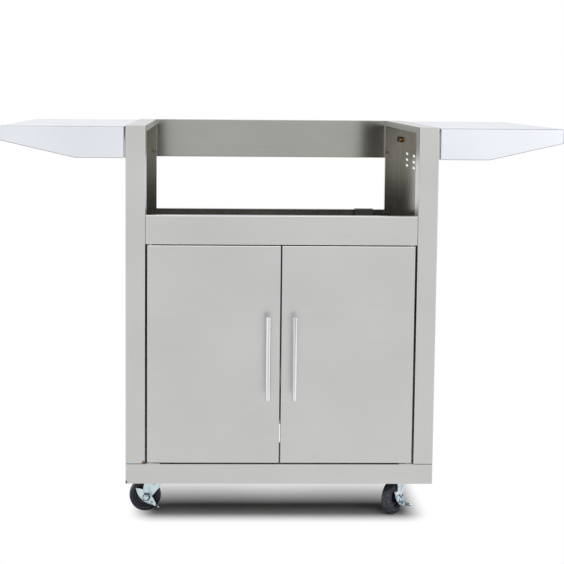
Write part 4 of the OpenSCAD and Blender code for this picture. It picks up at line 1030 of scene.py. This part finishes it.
    def foot_tab(self, mesh, look):
        """A tongue of the plate that twists on edge, turns outboard and tapers to a rounded end.

        Each row has its middle and its width in millimetres, and its twist in degrees."""
        track = [((22, 0, 1), 4, 0), ((25, 0.4, 1.1), 7, 0), ((27.5, 1, 1.6), 8.6, 10),
                 ((29.4, 1.8, 2.8), 9.6, 28), ((30.8, 2.6, 5.2), 10, 48), ((32, 3.2, 8.4), 9.6, 64),
                 ((33.4, 3.7, 12), 8.6, 74), ((34.8, 4, 15.4), 7.2, 78), ((35.8, 4.2, 17.8), 5.6, 80),
                 ((36.5, 4.3, 19.4), 3.4, 80)]
        middles = [Vector(middle) * MM for middle, _, _ in track]
        rows = []
        for i, (_, width, twist) in enumerate(track):
            lean = (middles[min(i + 1, len(track) - 1)] - middles[max(i - 1, 0)]).normalized()
            turn = Matrix.Rotation(math.radians(twist), 3, lean)
            across = turn @ Vector((0, 1, 0)).cross(lean).cross(lean).normalized() * width / 2 * MM
            out = lean.cross(across).normalized() * look.lever_sheet / 2
            rows.append([mesh.verts.new(middles[i] + a * across + b * out)
                         for a, b in ((-1, -1), (1, -1), (1, 1), (-1, 1))])
        for low, high in zip(rows, rows[1:]):
            for i in range(4):
                mesh.faces.new((low[i], low[(i + 1) % 4], high[(i + 1) % 4], high[i]))
        mesh.faces.new(rows[0][::-1])
        mesh.faces.new(rows[-1])


class CART_OT_wheels(Operator):
    """Makes the moulded tyres and hubs"""
    bl_idname = "cart.wheels"
    bl_label = "Wheels"

    def execute(self, context):
        look = context.scene.cart_wheels
        tyre = [tyre_material("Moulded tyre rubber", look, look.tyre, dust=0.2),
                tyre_material("Dusty tread rubber", look, look.dusty, dust=0.85)]
        hub = [moulded_material("Black hub plastic", look.hub, roughness=0.38)]
        for name in CASTERS:
            for node, rings, slot, materials in (("tyre", self.tyre_rings(look), "tyre_rubber", tyre),
                                                 ("wheel_hub", self.hub_rings(), "hub_plastic", hub)):
                rings = [(radius * MM, height * MM) for radius, height in rings]
                rings += [(radius, -height) for radius, height in reversed(rings)]
                mesh = turned(rings, sides=96, bore=True)
                for face in mesh.faces:
                    on_tread = face.calc_center_median().xy.length > look.tread
                    face.material_index = int(on_tread and len(materials) > 1)
                mesh.transform(axle_frame(name))
                made = to_mesh(node, mesh)
                for material in materials:
                    made.materials.append(material)
                piece(f"{name}_moulded_{node}", [made], name + "_wheel", f"{name}_{node}")
        return {"FINISHED"}

    def tyre_rings(self, look):
        """Half of a tyre's section, from the parting line round to the bead, in millimetres"""
        ring = look.ring / MM
        tread = [(38 - 0.03 * h ** 2 / 2, h) for h in (0.25, 2, 4, 6)]
        shoulder = [(36.2 + 1.2 * math.cos(a), 8.6 + 2.2 * math.sin(a)) for a in (0.2, 0.6, 1.0, 1.4)]
        bead = [(34.5, 11.4), (32.6, 12.1 + ring), (32.0, 12.1 + ring), (31.8, 12.1), (30.6, 12.3),
                (30.4, 12.3 + ring / 2), (29.9, 12.3 + ring / 2), (29.6, 12.2), (28.4, 11.9), (27.3, 11.1),
                (27.0, 10.2)]
        return ([(38, 0.15)] + tread + [(37.3, 7.6)] + shoulder + bead)[::-1]

    def hub_rings(self):
        """Half of a hub's section, from the bore round to the rim, in millimetres"""
        return [(6.2, 14.5), (6.6, 14.7), (9.4, 14.7), (10.0, 14.2), (10.4, 9.0), (11.4, 5.6), (12.4, 5.0),
                (15.6, 5.0), (16.0, 5.5), (17.0, 5.5), (17.4, 5.0), (20.6, 5.0), (21.8, 5.4), (22.6, 8.4),
                (23.0, 9.2), (23.6, 9.5), (26.4, 9.5), (26.9, 9.2), (27.0, 8.6)]


class CART_PT_panel(Panel):
    """Lists the steps that dress the cart"""
    bl_idname = "CART_PT_panel"
    bl_label = "Pizza oven cart"
    bl_space_type = "VIEW_3D"
    bl_region_type = "UI"
    bl_category = "Cart"

    def draw(self, context):
        for step in STEPS:
            self.layout.operator(step.bl_idname)


STEPS = (CART_OT_stage, CART_OT_sheets, CART_OT_hardware, CART_OT_handles, CART_OT_catches, CART_OT_casters,
         CART_OT_wheels)
LOOKS = {"cart_sheets": SheetLook, "cart_hardware": HardwareLook, "cart_handles": HandleLook,
         "cart_catches": CatchLook, "cart_casters": CasterLook, "cart_wheels": WheelLook,
         "cart_stage": StageLook}
CLASSES = (*LOOKS.values(), *STEPS, CART_PT_panel)


def register():
    for made in CLASSES:
        bpy.utils.register_class(made)
    for name, group in LOOKS.items():
        setattr(bpy.types.Scene, name, PointerProperty(type=group))


def unregister():
    for name in LOOKS:
        delattr(bpy.types.Scene, name)
    for made in reversed(CLASSES):
        bpy.utils.unregister_class(made)


def main():
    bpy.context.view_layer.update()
    register()
    for step in STEPS:
        family, action = step.bl_idname.split(".")
        getattr(getattr(bpy.ops, family), action)()


if __name__ == "__main__":
    main()
